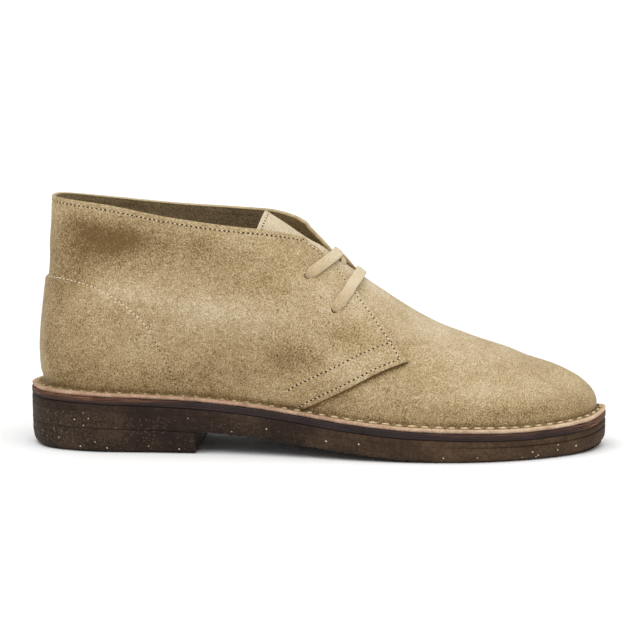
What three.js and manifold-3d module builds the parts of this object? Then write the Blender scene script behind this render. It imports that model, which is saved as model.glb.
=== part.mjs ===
// A right-foot chukka boot in suede on a crepe sole, of stitched-down make: the foot of the upper turns outwards
// over a leather midsole and is sewn to it. Millimetres, +Z up, toe towards +X, the outer side of the foot towards -Y.
// Lengths along the boot (x) are counted from the back of the sole until the finished group is centred at the end.
import * as THREE from "three";
import { mergeVertices } from "three/addons/utils/BufferGeometryUtils.js";
import Module from "manifold-3d";

// ---- driving dimensions ----
const SUEDE = 2.0; // wall of the upper, and of its turned-out foot
const MIDSOLE = 3.5;
const INSOLE = 3.0;
const GAP = 0.35; // clearance between pieces that touch
const BREAST = 91.5; // front face of the heel block
const LACE = { width: 6.2, thickness: 1.7, gap: 0.9 };
const EYELET_RADIUS = 2.1;
const RIBS = 88; // sections around the boot, heel to toe and back
const WALL_STEPS = 11; // steps up each section

// Side profile of the sole: midsole top and outsole underside above the floor.
const PROFILE = [
  { x: 0, seat: 30.6, under: 12.8 },
  { x: 40, seat: 29.3, under: 12.4 },
  { x: 80, seat: 28, under: 11.6 },
  { x: 110, seat: 26, under: 9.8 },
  { x: 140, seat: 22.7, under: 6.8 },
  { x: 170, seat: 18.8, under: 3.2 },
  { x: 200, seat: 16.3, under: 0.6 },
  { x: 216, seat: 15.6, under: 0 },
  { x: 257, seat: 14.6, under: 0 },
  { x: 282, seat: 15.3, under: 0 },
  { x: 296, seat: 16.7, under: 0.9 },
  { x: 305, seat: 19.2, under: 2.4 },
];

// Sections of the last, from the back of the heel to the tip of the toe. Each starts on the sole edge (x, and y on
// the outer and inner side), steps in by the ledge, and rises as one cubic curve to its top on the collar or ridge.
// rise and flare are the height and outward lean of its lower handle, crown and lean the length and dip of its upper
// one, and lift is how much higher the inner side's collar stands. Past the collar topY is the ridge's own place.
const SECTIONS = [
  { x: 0, outer: 0, inner: 0, ledge: 6.2, topX: 12.4, topY: 0, topZ: 132, lift: 0, rise: 27, flare: 5.6, crown: 38, lean: 90 },
  { x: 3.5, outer: -15, inner: 15, ledge: 5.8, topX: 14.6, topY: 11.5, topZ: 131.9, lift: 0, rise: 28, flare: 5.8, crown: 38, lean: 90 },
  { x: 14, outer: -28, inner: 28, ledge: 5.2, topX: 24.5, topY: 20, topZ: 130.7, lift: 0, rise: 30, flare: 6.6, crown: 37, lean: 88 },
  { x: 38, outer: -36.5, inner: 36.5, ledge: 4.6, topX: 48, topY: 25, topZ: 127.7, lift: 0.5, rise: 32, flare: 7.5, crown: 36, lean: 84 },
  { x: 71, outer: -37, inner: 35.5, ledge: 4.5, topX: 76, topY: 29.5, topZ: 122.7, lift: 2.6, rise: 32, flare: 7.5, crown: 34, lean: 80 },
  { x: 105, outer: -38, inner: 32, ledge: 4.5, topX: 105, topY: 30, topZ: 118.7, lift: 5, rise: 32, flare: 8, crown: 34, lean: 74 },
  { x: 137, outer: -42.5, inner: 32.5, ledge: 4.5, topX: 130, topY: 25.5, topZ: 115.6, lift: 6.4, rise: 33, flare: 7.5, crown: 31, lean: 62 },
  { x: 163, outer: -48, inner: 37.5, ledge: 4.5, topX: 147.5, topY: 15, topZ: 111.6, lift: 4.5, rise: 33, flare: 6, crown: 26, lean: 38 },
  { x: 183, outer: -52, inner: 43, ledge: 4.5, topX: 156, topY: 0, topZ: 107.4, lift: 0, rise: 32, flare: 5, crown: 23, lean: 0 },
  { x: 208, outer: -54, inner: 50, ledge: 4.5, topX: 181, topY: 0, topZ: 88.4, lift: 0, rise: 28, flare: 4.5, crown: 25, lean: 0 },
  { x: 234, outer: -52, inner: 52.5, ledge: 4.5, topX: 207, topY: 0, topZ: 70.2, lift: 0, rise: 22, flare: 4, crown: 26, lean: 0 },
  { x: 259, outer: -44.5, inner: 48, ledge: 4.6, topX: 230, topY: 0.8, topZ: 60, lift: 0, rise: 17.5, flare: 3, crown: 25, lean: 0 },
  { x: 281, outer: -32, inner: 38, ledge: 4.7, topX: 249, topY: 2.2, topZ: 53.6, lift: 0, rise: 14, flare: 2.4, crown: 23, lean: 0 },
  { x: 298, outer: -15.5, inner: 24, ledge: 4.8, topX: 261, topY: 3.4, topZ: 49, lift: 0, rise: 12, flare: 2.2, crown: 21, lean: 0 },
  { x: 305, outer: 5, inner: 5, ledge: 4.8, topX: 268, topY: 4, topZ: 46.7, lift: 0, rise: 11.5, flare: 2.3, crown: 20, lean: 0 },
];
const TOE = SECTIONS.length - 1;
const COLLAR_END = 8; // the section where the collar reaches the ridge

// Cross sections of the tongue along its crest, from its hidden foot to its free top.
const TONGUE = [
  { x: 190, z: 78.6, half: 13, drop: 4.6 },
  { x: 178, z: 87.2, half: 17, drop: 8.4 },
  { x: 166, z: 96.6, half: 20, drop: 11.6 },
  { x: 154, z: 104.6, half: 22, drop: 12.6 },
  { x: 140, z: 114.2, half: 24, drop: 11.4 },
  { x: 125, z: 124, half: 25.5, drop: 11.0 },
];

// Each lace lies in a plane across the boot, which meets the ridge at a section number and leans back from it at an
// angle above the floor. Its eyelets are where that plane comes to a share of the way up the wall.
const LACINGS = {
  lower: { ridge: 8.79, angle: 54, eyelet: 0.53 },
  upper: { ridge: 8.23, angle: 40, eyelet: 0.72 },
};

const wasm = await Module();
wasm.setup();

// ---- curves ----
const catmull = (a, b, c, d, t) =>
  0.5 * (2 * b + (c - a) * t + (2 * a - 5 * b + 4 * c - d) * t * t + (3 * (b - c) + d - a) * t * t * t);

// A value of the side profile at x, on a curve that never overshoots its rows.
function profile(column, x) {
  const last = PROFILE.length - 2;
  const i = Math.min(last, Math.max(0, PROFILE.findIndex((row) => row.x > x) - 1));
  const k = x >= PROFILE[last].x ? last : i;
  const slope = (j) => (PROFILE[j + 1][column] - PROFILE[j][column]) / (PROFILE[j + 1].x - PROFILE[j].x);
  const tangent = (j) => {
    const [before, after] = [slope(Math.max(0, j - 1)), slope(Math.min(last, j))];
    return before * after <= 0 ? 0 : (2 * before * after) / (before + after);
  };
  const span = PROFILE[k + 1].x - PROFILE[k].x;
  const t = THREE.MathUtils.clamp((x - PROFILE[k].x) / span, 0, 1);
  const [p, q] = [PROFILE[k][column], PROFILE[k + 1][column]];
  const [m, n] = [tangent(k) * span, tangent(k + 1) * span];
  return p + m * t + (3 * (q - p) - 2 * m - n) * t * t + (m + n - 2 * (q - p)) * t * t * t;
}

// One row of the sections table on one side: numbers up to TOE run along the outer side, and beyond it back along
// the inner side.
function rowAt(number) {
  const k = ((number % (2 * TOE)) + 2 * TOE) % (2 * TOE);
  const inner = k > TOE;
  const row = SECTIONS[inner ? 2 * TOE - k : k];
  return { ...row, y: inner ? row.inner : row.outer, topY: inner ? row.topY : -row.topY, topZ: row.topZ + (inner ? row.lift : 0) };
}

function column(name, u) {
  const k = Math.floor(u);
  return catmull(rowAt(k - 1)[name], rowAt(k)[name], rowAt(k + 1)[name], rowAt(k + 2)[name], u - k);
}

// Sole edge in plan, moved inwards by an inset, with the outward direction there.
function edge(u, inset = 0) {
  const step = 0.02;
  const [dx, dy] = ["x", "y"].map((name) => column(name, u + step) - column(name, u - step));
  const out = new THREE.Vector3(dy, -dx, 0).normalize();
  const point = new THREE.Vector3(column("x", u), column("y", u), 0).addScaledVector(out, -inset);
  return { point, out };
}

// Top of a section, on the collar's curve or on the ridge's. The two meet at a corner, so each is mirrored past it.
function topOf(u) {
  const side = u > TOE ? 2 * TOE - u : u;
  const sign = u > TOE ? 1 : -1;
  const ridge = side >= COLLAR_END;
  const k = Math.min(TOE - 1, Math.floor(side));
  const row = (j) => {
    if (j < 0) return { ...SECTIONS[-j], topY: -SECTIONS[-j].topY };
    if (j > TOE) return SECTIONS[2 * TOE - j];
    if (!ridge && j > COLLAR_END) return { ...SECTIONS[2 * COLLAR_END - j], topY: -SECTIONS[2 * COLLAR_END - j].topY };
    return SECTIONS[j];
  };
  const rows = [k - 1, k, k + 1, k + 2].map(row);
  if (ridge && k === COLLAR_END)
    rows[0] = { ...rows[1], topX: 2 * rows[1].topX - rows[2].topX, topZ: 2 * rows[1].topZ - rows[2].topZ };
  const value = (name) => catmull(...rows.map((r) => r[name]), side - k);
  const lift = ridge || sign < 0 ? 0 : value("lift");
  return new THREE.Vector3(value("topX"), ridge ? value("topY") : sign * Math.max(0, value("topY")), value("topZ") + lift);
}

function ridgeSlope(u) {
  const step = 0.05;
  const side = THREE.MathUtils.clamp(u > TOE ? 2 * TOE - u : u, COLLAR_END + step, TOE - step);
  const [a, b] = [topOf(side - step), topOf(side + step)];
  return (b.z - a.z) / (b.x - a.x);
}

// The outer face of the wall: share 0 at its foot, 1 at the collar or ridge.
function wall(u, share) {
  const { point: foot, out } = edge(u, column("ledge", u));
  foot.z = profile("seat", foot.x) + GAP + SUEDE;
  const top = topOf(u);
  const level = new THREE.Vector3(foot.x - top.x, foot.y - top.y, 0).normalize();
  const lean = THREE.MathUtils.degToRad(Math.max(0, column("lean", u)));
  // over the collar the section faces straight out of the outline, and over the ridge it runs towards its own foot
  level.lerp(out, Math.sin(lean)).normalize();
  const dip = new THREE.Vector3(level.x, level.y, ridgeSlope(u) * level.x * Math.cos(lean));
  dip.multiplyScalar(Math.cos(lean)).add(new THREE.Vector3(0, 0, -Math.sin(lean)));
  const low = foot.clone().addScaledVector(out, column("flare", u));
  low.z += column("rise", u);
  const high = top.clone().addScaledVector(dip, column("crown", u));
  return new THREE.CubicBezierCurve3(foot, low, high, top).getPoint(share);
}

function wallNormal(u, share) {
  const step = 0.01;
  const [low, high] = [Math.max(0, share - step), Math.min(1, share + step)];
  const up = wall(u, high).sub(wall(u, low));
  const along = wall(u + step, share).sub(wall(u - step, share));
  // on the ridge both sides use the ridge's own direction, so that their walls meet in one line
  const side = u > TOE ? 2 * TOE - u : u;
  if (share === 1 && side >= COLLAR_END) {
    const slope = ridgeSlope(u);
    return new THREE.Vector3(-slope, 0, 1).normalize();
  }
  return along.cross(up).normalize();
}

// ---- solids ----
function solidMesh(positions, indices) {
  const raw = new THREE.BufferGeometry();
  raw.setAttribute("position", new THREE.Float32BufferAttribute(positions.flatMap((p) => [p.x, p.y, p.z]), 3));
  raw.setIndex(indices);
  return mergeVertices(raw, 1e-3);
}

function toManifold(geometry) {
  return new wasm.Manifold(
    new wasm.Mesh({ numProp: 3, vertProperties: geometry.attributes.position.array, triVerts: new Uint32Array(geometry.index.array) }),
  );
}

function toGeometry(solid) {
  const { vertProperties, triVerts } = solid.getMesh();
  const geometry = new THREE.BufferGeometry();
  geometry.setAttribute("position", new THREE.BufferAttribute(vertProperties, 3));
  geometry.setIndex(new THREE.BufferAttribute(triVerts, 1));
  return geometry;
}

// A solid from a stack of closed rings, bottom to top. Point j of a ring faces point (count - j) across the boot,
// so the end caps are strips from side to side.
function stacked(rings) {
  const count = rings[0].length;
  const indices = [];
  const quad = (a, b, c, d) => indices.push(a, b, c, a, c, d);
  for (let r = 0; r + 1 < rings.length; r++)
    for (let j = 0; j < count; j++) {
      const k = (j + 1) % count;
      quad(r * count + j, r * count + k, (r + 1) * count + k, (r + 1) * count + j);
    }
  const top = (rings.length - 1) * count;
  for (let j = 0; 2 * j < count - 1; j++) {
    const [a, b, c, d] = [j, j + 1, count - j - 1, (count - j) % count];
    const triangles = j === 0 ? [[a, b, c]] : b === c ? [[a, b, d]] : [[a, b, c], [a, c, d]];
    for (const [p, q, s] of triangles) {
      indices.push(p, s, q);
      indices.push(top + p, top + q, top + s);
    }
  }
  return solidMesh(rings.flat(), indices);
}

// A ring on the sole edge, inset, at a height given for each x. It runs to the last section number and straight
// across from there.
function soleRing(inset, height, lastSection = TOE) {
  const half = Math.round((RIBS / 2) * (lastSection / TOE));
  const numbers = [];
  for (let j = 0; j <= half; j++) numbers.push((lastSection * j) / half);
  for (let j = lastSection === TOE ? half - 1 : half; j > 0; j--) numbers.push(2 * TOE - (lastSection * j) / half);
  return numbers.map((u) => {
    const { point } = edge(u, typeof inset === "function" ? inset(u) : inset);
    point.z = height(point.x);
    return point;
  });
}

// ---- sole ----
const outsoleTop = (x) => profile("seat", x) - MIDSOLE - GAP;

function outsole() {
  const band = (share) => (x) => profile("under", x) + share * (outsoleTop(x) - profile("under", x));
  // the bottom edge is rounded from the heel block forwards, and square above it
  const round = (u) => THREE.MathUtils.smoothstep(column("x", u), BREAST - 2, BREAST + 14);
  return stacked([
    soleRing((u) => 0.3 + 2.9 * round(u), band(0)),
    soleRing((u) => 0.2 + 0.8 * round(u), band(0.16)),
    soleRing(0.2, band(0.5)),
    soleRing(0, band(1)),
  ]);
}

function heelBlock() {
  const lastSection = sectionAtX(BREAST);
  const roof = (x) => profile("under", x) - GAP;
  const level = (z) => () => z;
  return stacked([
    soleRing(4.4, level(0), lastSection),
    soleRing(2.2, level(1.6), lastSection),
    soleRing(0.9, level(5), lastSection),
    soleRing(0.3, roof, lastSection),
  ]);
}

function sectionAtX(x) {
  let u = 0;
  while (column("x", u) < x) u += 0.01;
  return u;
}

function midsole() {
  return stacked([
    soleRing(0.3, (x) => outsoleTop(x) + GAP),
    soleRing(0.1, (x) => profile("seat", x) - MIDSOLE / 2),
    soleRing(0.3, (x) => profile("seat", x)),
  ]);
}

function insole() {
  const inset = (u) => column("ledge", u) + SUEDE + 0.7;
  const floor = (x) => profile("seat", x) + GAP;
  return stacked([
    soleRing((u) => inset(u) + 1.4, floor),
    soleRing(inset, (x) => floor(x) + 1.4),
    soleRing(inset, (x) => floor(x) + INSOLE),
  ]);
}

// ---- upper ----
// Each section runs from the edge of the turned-out foot, round its fold and up the wall, then down the inner face.
function sectionLoop(u) {
  const { out } = edge(u);
  const foot = wall(u, 0);
  const ledge = column("ledge", u);
  const up = new THREE.Vector3(0, 0, 1);
  const outer = [];
  for (const [distance, tilt] of [[ledge - 0.6, 0], [ledge * 0.5, 0], [1.1, 15], [0.35, 45]]) {
    const point = foot.clone().addScaledVector(out, distance);
    point.z = profile("seat", point.x) + GAP + SUEDE + (tilt / 45) * 0.45;
    const angle = THREE.MathUtils.degToRad(tilt);
    outer.push({ point, normal: up.clone().multiplyScalar(Math.cos(angle)).addScaledVector(out, Math.sin(angle)) });
  }
  for (let i = 1; i <= WALL_STEPS; i++) {
    const share = Math.pow(i / WALL_STEPS, 0.92);
    outer.push({ point: wall(u, share), normal: wallNormal(u, share) });
  }
  const inner = outer.map(({ point, normal }) => point.clone().addScaledVector(normal, -SUEDE));
  return [...outer.map((p) => p.point), ...inner.reverse()];
}

function upperShell() {
  const loops = [];
  for (let j = 0; j < RIBS; j++) loops.push(sectionLoop((2 * TOE * j) / RIBS));
  const size = loops[0].length;
  const isRidge = (j) => {
    const u = (2 * TOE * j) / RIBS;
    return (u > TOE ? 2 * TOE - u : u) >= COLLAR_END - 1e-6;
  };
  const indices = [];
  loops.forEach((_, j) => {
    const next = (j + 1) % RIBS;
    for (let i = 0; i < size; i++) {
      // along the ridge the two sides join, with no face between them
      if (i === size / 2 - 1 && isRidge(j) && isRidge(next)) continue;
      const k = (i + 1) % size;
      const [a, b, c, d] = [j * size + i, next * size + i, next * size + k, j * size + k];
      indices.push(a, b, c, a, c, d);
    }
  });
  return solidMesh(loops.flat(), indices);
}

// The throat between the fronts of the quarters, cut straight down through the ridge.
function throatCutter() {
  const plan = new THREE.Shape();
  plan.moveTo(136, -13);
  plan.bezierCurveTo(146, -9.5, 150, -6.4, 157, -6);
  plan.lineTo(175, -8.6);
  plan.bezierCurveTo(184, -9.2, 184, 9.2, 175, 8.6);
  plan.lineTo(157, 6);
  plan.bezierCurveTo(150, 6.4, 146, 9.5, 136, 13);
  plan.closePath();
  const block = new THREE.ExtrudeGeometry(plan, { depth: 60, bevelEnabled: false, curveSegments: 6 });
  return merged(block.translate(0, 0, 75));
}

function merged(geometry) {
  geometry.deleteAttribute("normal");
  geometry.deleteAttribute("uv");
  return mergeVertices(geometry, 1e-4);
}

// The section number at which a share of the way up the wall lies in a lace's plane.
function planeSection({ ridge, angle }, share, inner) {
  const mirror = (u) => (inner ? 2 * TOE - u : u);
  const crossing = topOf(ridge);
  const slope = Math.tan(THREE.MathUtils.degToRad(angle));
  const beyond = (u) => {
    const point = wall(mirror(u), share);
    return slope * (point.x - crossing.x) - (point.z - crossing.z);
  };
  let [low, high] = [ridge - 2, ridge + 0.2];
  for (let i = 0; i < 40; i++) {
    const half = (low + high) / 2;
    if (beyond(half) > 0) high = half;
    else low = half;
  }
  return mirror(low);
}

function eyeletCutter(lacing, inner) {
  const u = planeSection(lacing, lacing.eyelet, inner);
  const drill = merged(new THREE.CylinderGeometry(EYELET_RADIUS, EYELET_RADIUS, 14, 12));
  const outwards = wallNormal(u, lacing.eyelet);
  drill.applyQuaternion(new THREE.Quaternion().setFromUnitVectors(new THREE.Vector3(0, 1, 0), outwards));
  const place = wall(u, lacing.eyelet);
  return drill.translate(place.x, place.y, place.z);
}

function upper() {
  let solid = toManifold(upperShell()).subtract(toManifold(throatCutter()));
  for (const lacing of Object.values(LACINGS))
    for (const inner of [false, true]) solid = solid.subtract(toManifold(eyeletCutter(lacing, inner)));
  return toGeometry(solid);
}

// ---- tongue ----
function tongueRow(name, t) {
  const k = Math.min(TONGUE.length - 2, Math.floor(t));
  const row = (j) => TONGUE[THREE.MathUtils.clamp(j, 0, TONGUE.length - 1)][name];
  return catmull(row(k - 1), row(k), row(k + 1), row(k + 2), t - k);
}

// Rings across the tongue, one for each step along it: over its outer face and back under its inner one.
function tongue() {
  const [lengthSteps, acrossSteps] = [15, 12];
  const rings = [];
  for (let i = 0; i <= lengthSteps; i++) {
    const t = ((TONGUE.length - 1) * i) / lengthSteps;
    const [x, z, half, drop] = ["x", "z", "half", "drop"].map((name) => tongueRow(name, t));
    const outer = [];
    const inner = [];
    for (let j = 0; j <= acrossSteps; j++) {
      const across = (2 * j) / acrossSteps - 1;
      const fall = 1.7 * across ** 2 - 0.7 * across ** 4;
      const point = new THREE.Vector3(x - 0.35 * drop * fall, half * across * (1 - 0.06 * across ** 2), z - drop * fall);
      const slope = (drop / half) * (3.4 * across - 2.8 * across ** 3);
      const normal = new THREE.Vector3(0.55, slope, 1).normalize();
      outer.push(point);
      inner.push(point.clone().addScaledVector(normal, -SUEDE * 0.9));
    }
    rings.push([...outer, ...inner.reverse()]);
  }
  const size = rings[0].length;
  const indices = [];
  for (let i = 0; i < lengthSteps; i++)
    for (let j = 0; j < size; j++) {
      const k = (j + 1) % size;
      const [a, b, c, d] = [i * size + j, i * size + k, (i + 1) * size + k, (i + 1) * size + j];
      indices.push(a, b, c, a, c, d);
    }
  const last = lengthSteps * size;
  for (let j = 0; j < acrossSteps; j++) {
    const [a, b, c, d] = [j, j + 1, size - j - 2, size - j - 1];
    indices.push(a, c, b, a, d, c);
    indices.push(last + a, last + b, last + c, last + a, last + c, last + d);
  }
  return solidMesh(rings.flat(), indices);
}

// ---- laces ----
// A flat lace lying on the upper, as rings along its middle line; each place is a section number and a share up it.
function laceBand(places) {
  const half = LACE.thickness / 2;
  const middle = places.map(({ u, up }) => ({
    normal: wallNormal(u, up),
    point: wall(u, up).addScaledVector(wallNormal(u, up), LACE.gap + half),
  }));
  const corners = [[-0.5, -0.3], [-0.35, -0.5], [0.35, -0.5], [0.5, -0.3], [0.5, 0.3], [0.35, 0.5], [-0.35, 0.5], [-0.5, 0.3]];
  const rings = middle.map(({ point, normal }, i) => {
    const before = middle[Math.max(0, i - 1)].point;
    const after = middle[Math.min(middle.length - 1, i + 1)].point;
    const side = normal.clone().cross(after.clone().sub(before)).normalize();
    return corners.map(([across, high]) =>
      point.clone().addScaledVector(side, across * LACE.width).addScaledVector(normal, high * LACE.thickness),
    );
  });
  const size = corners.length;
  const indices = [];
  for (let i = 0; i + 1 < rings.length; i++)
    for (let j = 0; j < size; j++) {
      const k = (j + 1) % size;
      const [a, b, c, d] = [i * size + j, i * size + k, (i + 1) * size + k, (i + 1) * size + j];
      indices.push(a, b, c, a, c, d);
    }
  const last = (rings.length - 1) * size;
  for (let j = 1; j + 1 < size; j++) {
    indices.push(0, j + 1, j);
    indices.push(last, last + j, last + j + 1);
  }
  return solidMesh(rings.flat(), indices);
}

// From an eyelet over the ridge to the eyelet on the other side.
function lacePlaces(lacing) {
  const steps = 10;
  const climb = (i) => THREE.MathUtils.lerp(lacing.eyelet, 1, Math.sin((Math.PI / 2) * (i / steps)));
  const side = (inner) =>
    Array.from({ length: steps + 1 }, (_, i) => ({ u: planeSection(lacing, climb(i), inner), up: climb(i) }));
  return [...side(false), ...side(true).reverse().slice(1)];
}

// ---- the boot ----
const suede = { color: 0xb49c74, roughness: 0.95, metalness: 0 };
const crepe = { color: 0x3a2a20, roughness: 0.7, metalness: 0 };
const pieces = [
  ["outsole", outsole, crepe],
  ["heel", heelBlock, crepe],
  ["midsole", midsole, { color: 0x6b4430, roughness: 0.6, metalness: 0 }],
  ["insole", insole, { color: 0xa8865c, roughness: 0.8, metalness: 0 }],
  ["upper", upper, suede],
  ["tongue", tongue, suede],
  ["lace_lower", () => laceBand(lacePlaces(LACINGS.lower)), { color: 0xe6d3a6, roughness: 0.85, metalness: 0 }],
  ["lace_upper", () => laceBand(lacePlaces(LACINGS.upper)), { color: 0xe6d3a6, roughness: 0.85, metalness: 0 }],
];

const boot = new THREE.Group();
for (const [name, make, finish] of pieces) {
  const mesh = new THREE.Mesh(make(), new THREE.MeshStandardMaterial(finish));
  mesh.name = name;
  boot.add(mesh);
}

// origin on the floor, under the middle of the boot's box
const box = new THREE.Box3().setFromObject(boot);
const middle = box.getCenter(new THREE.Vector3());
boot.position.set(-middle.x, -middle.y, -box.min.z);

export default boot;
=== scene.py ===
# Right-foot chukka boot: sand suede, stitched down onto a dark crepe sole.
# Sizes are millimetres from the back of the sole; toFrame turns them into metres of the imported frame.
import math
import random

import bmesh
import bpy
from mathutils import Euler, Matrix, Vector, noise
from mathutils.bvhtree import BVHTree
from mathutils.kdtree import KDTree


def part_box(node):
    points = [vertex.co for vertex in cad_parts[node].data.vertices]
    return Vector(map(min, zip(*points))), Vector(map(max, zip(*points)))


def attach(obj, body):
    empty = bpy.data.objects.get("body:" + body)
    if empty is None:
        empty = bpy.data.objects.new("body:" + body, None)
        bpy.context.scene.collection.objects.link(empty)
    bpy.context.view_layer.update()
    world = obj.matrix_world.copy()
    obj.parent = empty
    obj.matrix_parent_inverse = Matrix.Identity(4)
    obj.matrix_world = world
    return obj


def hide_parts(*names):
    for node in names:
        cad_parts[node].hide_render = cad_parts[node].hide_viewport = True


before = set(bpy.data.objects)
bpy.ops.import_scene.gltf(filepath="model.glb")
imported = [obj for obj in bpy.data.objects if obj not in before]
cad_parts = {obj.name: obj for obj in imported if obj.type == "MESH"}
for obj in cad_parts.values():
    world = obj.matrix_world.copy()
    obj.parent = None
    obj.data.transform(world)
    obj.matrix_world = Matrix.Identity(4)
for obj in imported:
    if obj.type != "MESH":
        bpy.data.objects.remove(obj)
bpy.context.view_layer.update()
mm = 0.001

# the last
last = {
    "suede": 2.0,  # upper's wall and turned-out foot
    "gap": 0.35,
    "midsole": 3.5,
    "insole": 3.0,
    "breast": 91.5,  # front face of the heel block
    "collarEnd": 8,  # section where the collar reaches the ridge
    "ribsPerSection": 50,
}

# side profile: top of the midsole and underside of the outsole above the floor
profileColumns = ("x", "seat", "under")
profileRows = [
    (0, 30.6, 12.8),
    (40, 29.3, 12.4),
    (80, 28, 11.6),
    (110, 26, 9.8),
    (140, 22.7, 6.8),
    (170, 18.8, 3.2),
    (200, 16.3, 0.6),
    (216, 15.6, 0),
    (257, 14.6, 0),
    (282, 15.3, 0),
    (296, 16.7, 0.9),
    (305, 19.2, 2.4),
]
profile = [dict(zip(profileColumns, row)) for row in profileRows]

# sections from the back of the heel to the toe: sole edge, step in to the wall, top on the collar or ridge,
# and the lengths and lean of the curve's two handles
sectionColumns = (
    "x", "outer", "inner", "ledge", "topX", "topY", "topZ", "lift", "rise", "flare", "crown", "lean",
)
sectionRows = [
    (0, 0, 0, 6.2, 12.4, 0, 132, 0, 27, 5.6, 38, 90),
    (3.5, -15, 15, 5.8, 14.6, 11.5, 131.9, 0, 28, 5.8, 38, 90),
    (14, -28, 28, 5.2, 24.5, 20, 130.7, 0, 30, 6.6, 37, 88),
    (38, -36.5, 36.5, 4.6, 48, 25, 127.7, 0.5, 32, 7.5, 36, 84),
    (71, -37, 35.5, 4.5, 76, 29.5, 122.7, 2.6, 32, 7.5, 34, 80),
    (105, -38, 32, 4.5, 105, 30, 118.7, 5, 32, 8, 34, 74),
    (137, -42.5, 32.5, 4.5, 130, 25.5, 115.6, 6.4, 33, 7.5, 31, 62),
    (163, -48, 37.5, 4.5, 147.5, 15, 111.6, 4.5, 33, 6, 26, 38),
    (183, -52, 43, 4.5, 156, 0, 107.4, 0, 32, 5, 23, 0),
    (208, -54, 50, 4.5, 181, 0, 88.4, 0, 28, 4.5, 25, 0),
    (234, -52, 52.5, 4.5, 207, 0, 70.2, 0, 22, 4, 26, 0),
    (259, -44.5, 48, 4.6, 230, 0.8, 60, 0, 17.5, 3, 25, 0),
    (281, -32, 38, 4.7, 249, 2.2, 53.6, 0, 14, 2.4, 23, 0),
    (298, -15.5, 24, 4.8, 261, 3.4, 49, 0, 12, 2.2, 21, 0),
    (305, 5, 5, 4.8, 268, 4, 46.7, 0, 11.5, 2.3, 20, 0),
]
sections = [dict(zip(sectionColumns, row)) for row in sectionRows]
toe = len(sections) - 1  # section numbers run to toe on the outer side, and back along the inner side to lap
lap = 2 * toe


def clamp(value, low=0.0, high=1.0):
    return max(low, min(high, value))


def smoothStep(low, high, value):
    t = clamp((value - low) / (high - low))
    return t * t * (3 - 2 * t)


def mix(a, b, t):
    return a + (b - a) * t


def catmull(a, b, c, d, t):
    return (b * 2 + (c - a) * t + (a * 2 - b * 5 + c * 4 - d) * t * t + ((b - c) * 3 + d - a) * t**3) * 0.5


def curveThrough(points, steps):  # smooth curve through points, with its ends kept
    ends = [points[0] * 2 - points[1], *points, points[-1] * 2 - points[-2]]
    curve = []
    for k in range(len(points) - 1):
        curve += [catmull(*ends[k : k + 4], i / steps) for i in range(steps)]
    return [*curve, points[-1]]


def profileAt(name, x):  # monotone between its rows
    count = len(profile) - 1
    k = 0
    while k < count - 1 and profile[k + 1]["x"] <= x:
        k += 1

    def slope(j):
        return (profile[j + 1][name] - profile[j][name]) / (profile[j + 1]["x"] - profile[j]["x"])

    def tangent(j):
        before, after = slope(max(0, j - 1)), slope(min(count - 1, j))
        return 0 if before * after <= 0 else 2 * before * after / (before + after)

    span = profile[k + 1]["x"] - profile[k]["x"]
    t = clamp((x - profile[k]["x"]) / span)
    p, q = profile[k][name], profile[k + 1][name]
    m, n = tangent(k) * span, tangent(k + 1) * span
    return p + m * t + (3 * (q - p) - 2 * m - n) * t * t + (m + n - 2 * (q - p)) * t**3


def sectionValue(number, name):
    k = number % lap
    row = sections[lap - k if k > toe else k]
    if name == "y":
        return row["inner" if k > toe else "outer"]
    return row[name]


def along(name, u):
    k = math.floor(u)
    return catmull(*[sectionValue(k + j, name) for j in (-1, 0, 1, 2)], u - k)


def soleEdge(u, inset=0.0):  # point on the sole's edge, moved inwards, and the outward direction there
    step = 0.02
    dx = along("x", u + step) - along("x", u - step)
    dy = along("y", u + step) - along("y", u - step)
    out = Vector((dy, -dx, 0)).normalized()
    return Vector((along("x", u), along("y", u), 0)) - out * inset, out


def topAt(u):  # the collar, or past it the ridge
    side = lap - u if u > toe else u
    end = last["collarEnd"]
    onRidge = side >= end
    k = min(toe - 1, math.floor(side))

    def row(j):
        mirrored = None
        if j < 0:
            mirrored = sections[-j]
        elif j > toe:
            return sections[lap - j]
        elif not onRidge and j > end:
            mirrored = sections[2 * end - j]
        return dict(mirrored, topY=-mirrored["topY"]) if mirrored else sections[j]

    rows = [row(k + j) for j in (-1, 0, 1, 2)]
    if onRidge and k == end:
        rows[0] = dict(rows[1], **{name: 2 * rows[1][name] - rows[2][name] for name in ("topX", "topZ")})
    x, y, z, lift = [catmull(*[r[name] for r in rows], side - k) for name in ("topX", "topY", "topZ", "lift")]
    if onRidge:
        return Vector((x, y, z))
    return Vector((x, max(0, y), z + lift)) if u > toe else Vector((x, -max(0, y), z))


def ridgeSlope(u):
    step = 0.05
    side = clamp(lap - u if u > toe else u, last["collarEnd"] + step, toe - step)
    a, b = topAt(side - step), topAt(side + step)
    return (b.z - a.z) / (b.x - a.x)


def ribAt(u):  # one curve up the wall: its four handles, then the outward direction and the ledge
    ledge = along("ledge", u)
    foot, out = soleEdge(u, ledge)
    foot.z = profileAt("seat", foot.x) + last["gap"] + last["suede"]
    top = topAt(u)
    level = Vector((foot.x - top.x, foot.y - top.y, 0)).normalized()
    lean = math.radians(max(0, along("lean", u)))
    level = level.lerp(out, math.sin(lean)).normalized()
    dip = Vector((level.x, level.y, ridgeSlope(u) * level.x * math.cos(lean))) * math.cos(lean)
    dip.z -= math.sin(lean)
    low = foot + out * along("flare", u)
    low.z += along("rise", u)
    return foot, low, top + dip * along("crown", u), top, out, ledge


ribs = [ribAt(i / last["ribsPerSection"]) for i in range(lap * last["ribsPerSection"] + 1)]


def ribPair(u):
    place = clamp(u, 0, lap) * last["ribsPerSection"]
    i = min(int(place), len(ribs) - 2)
    return ribs[i], ribs[i + 1], place - i


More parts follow.
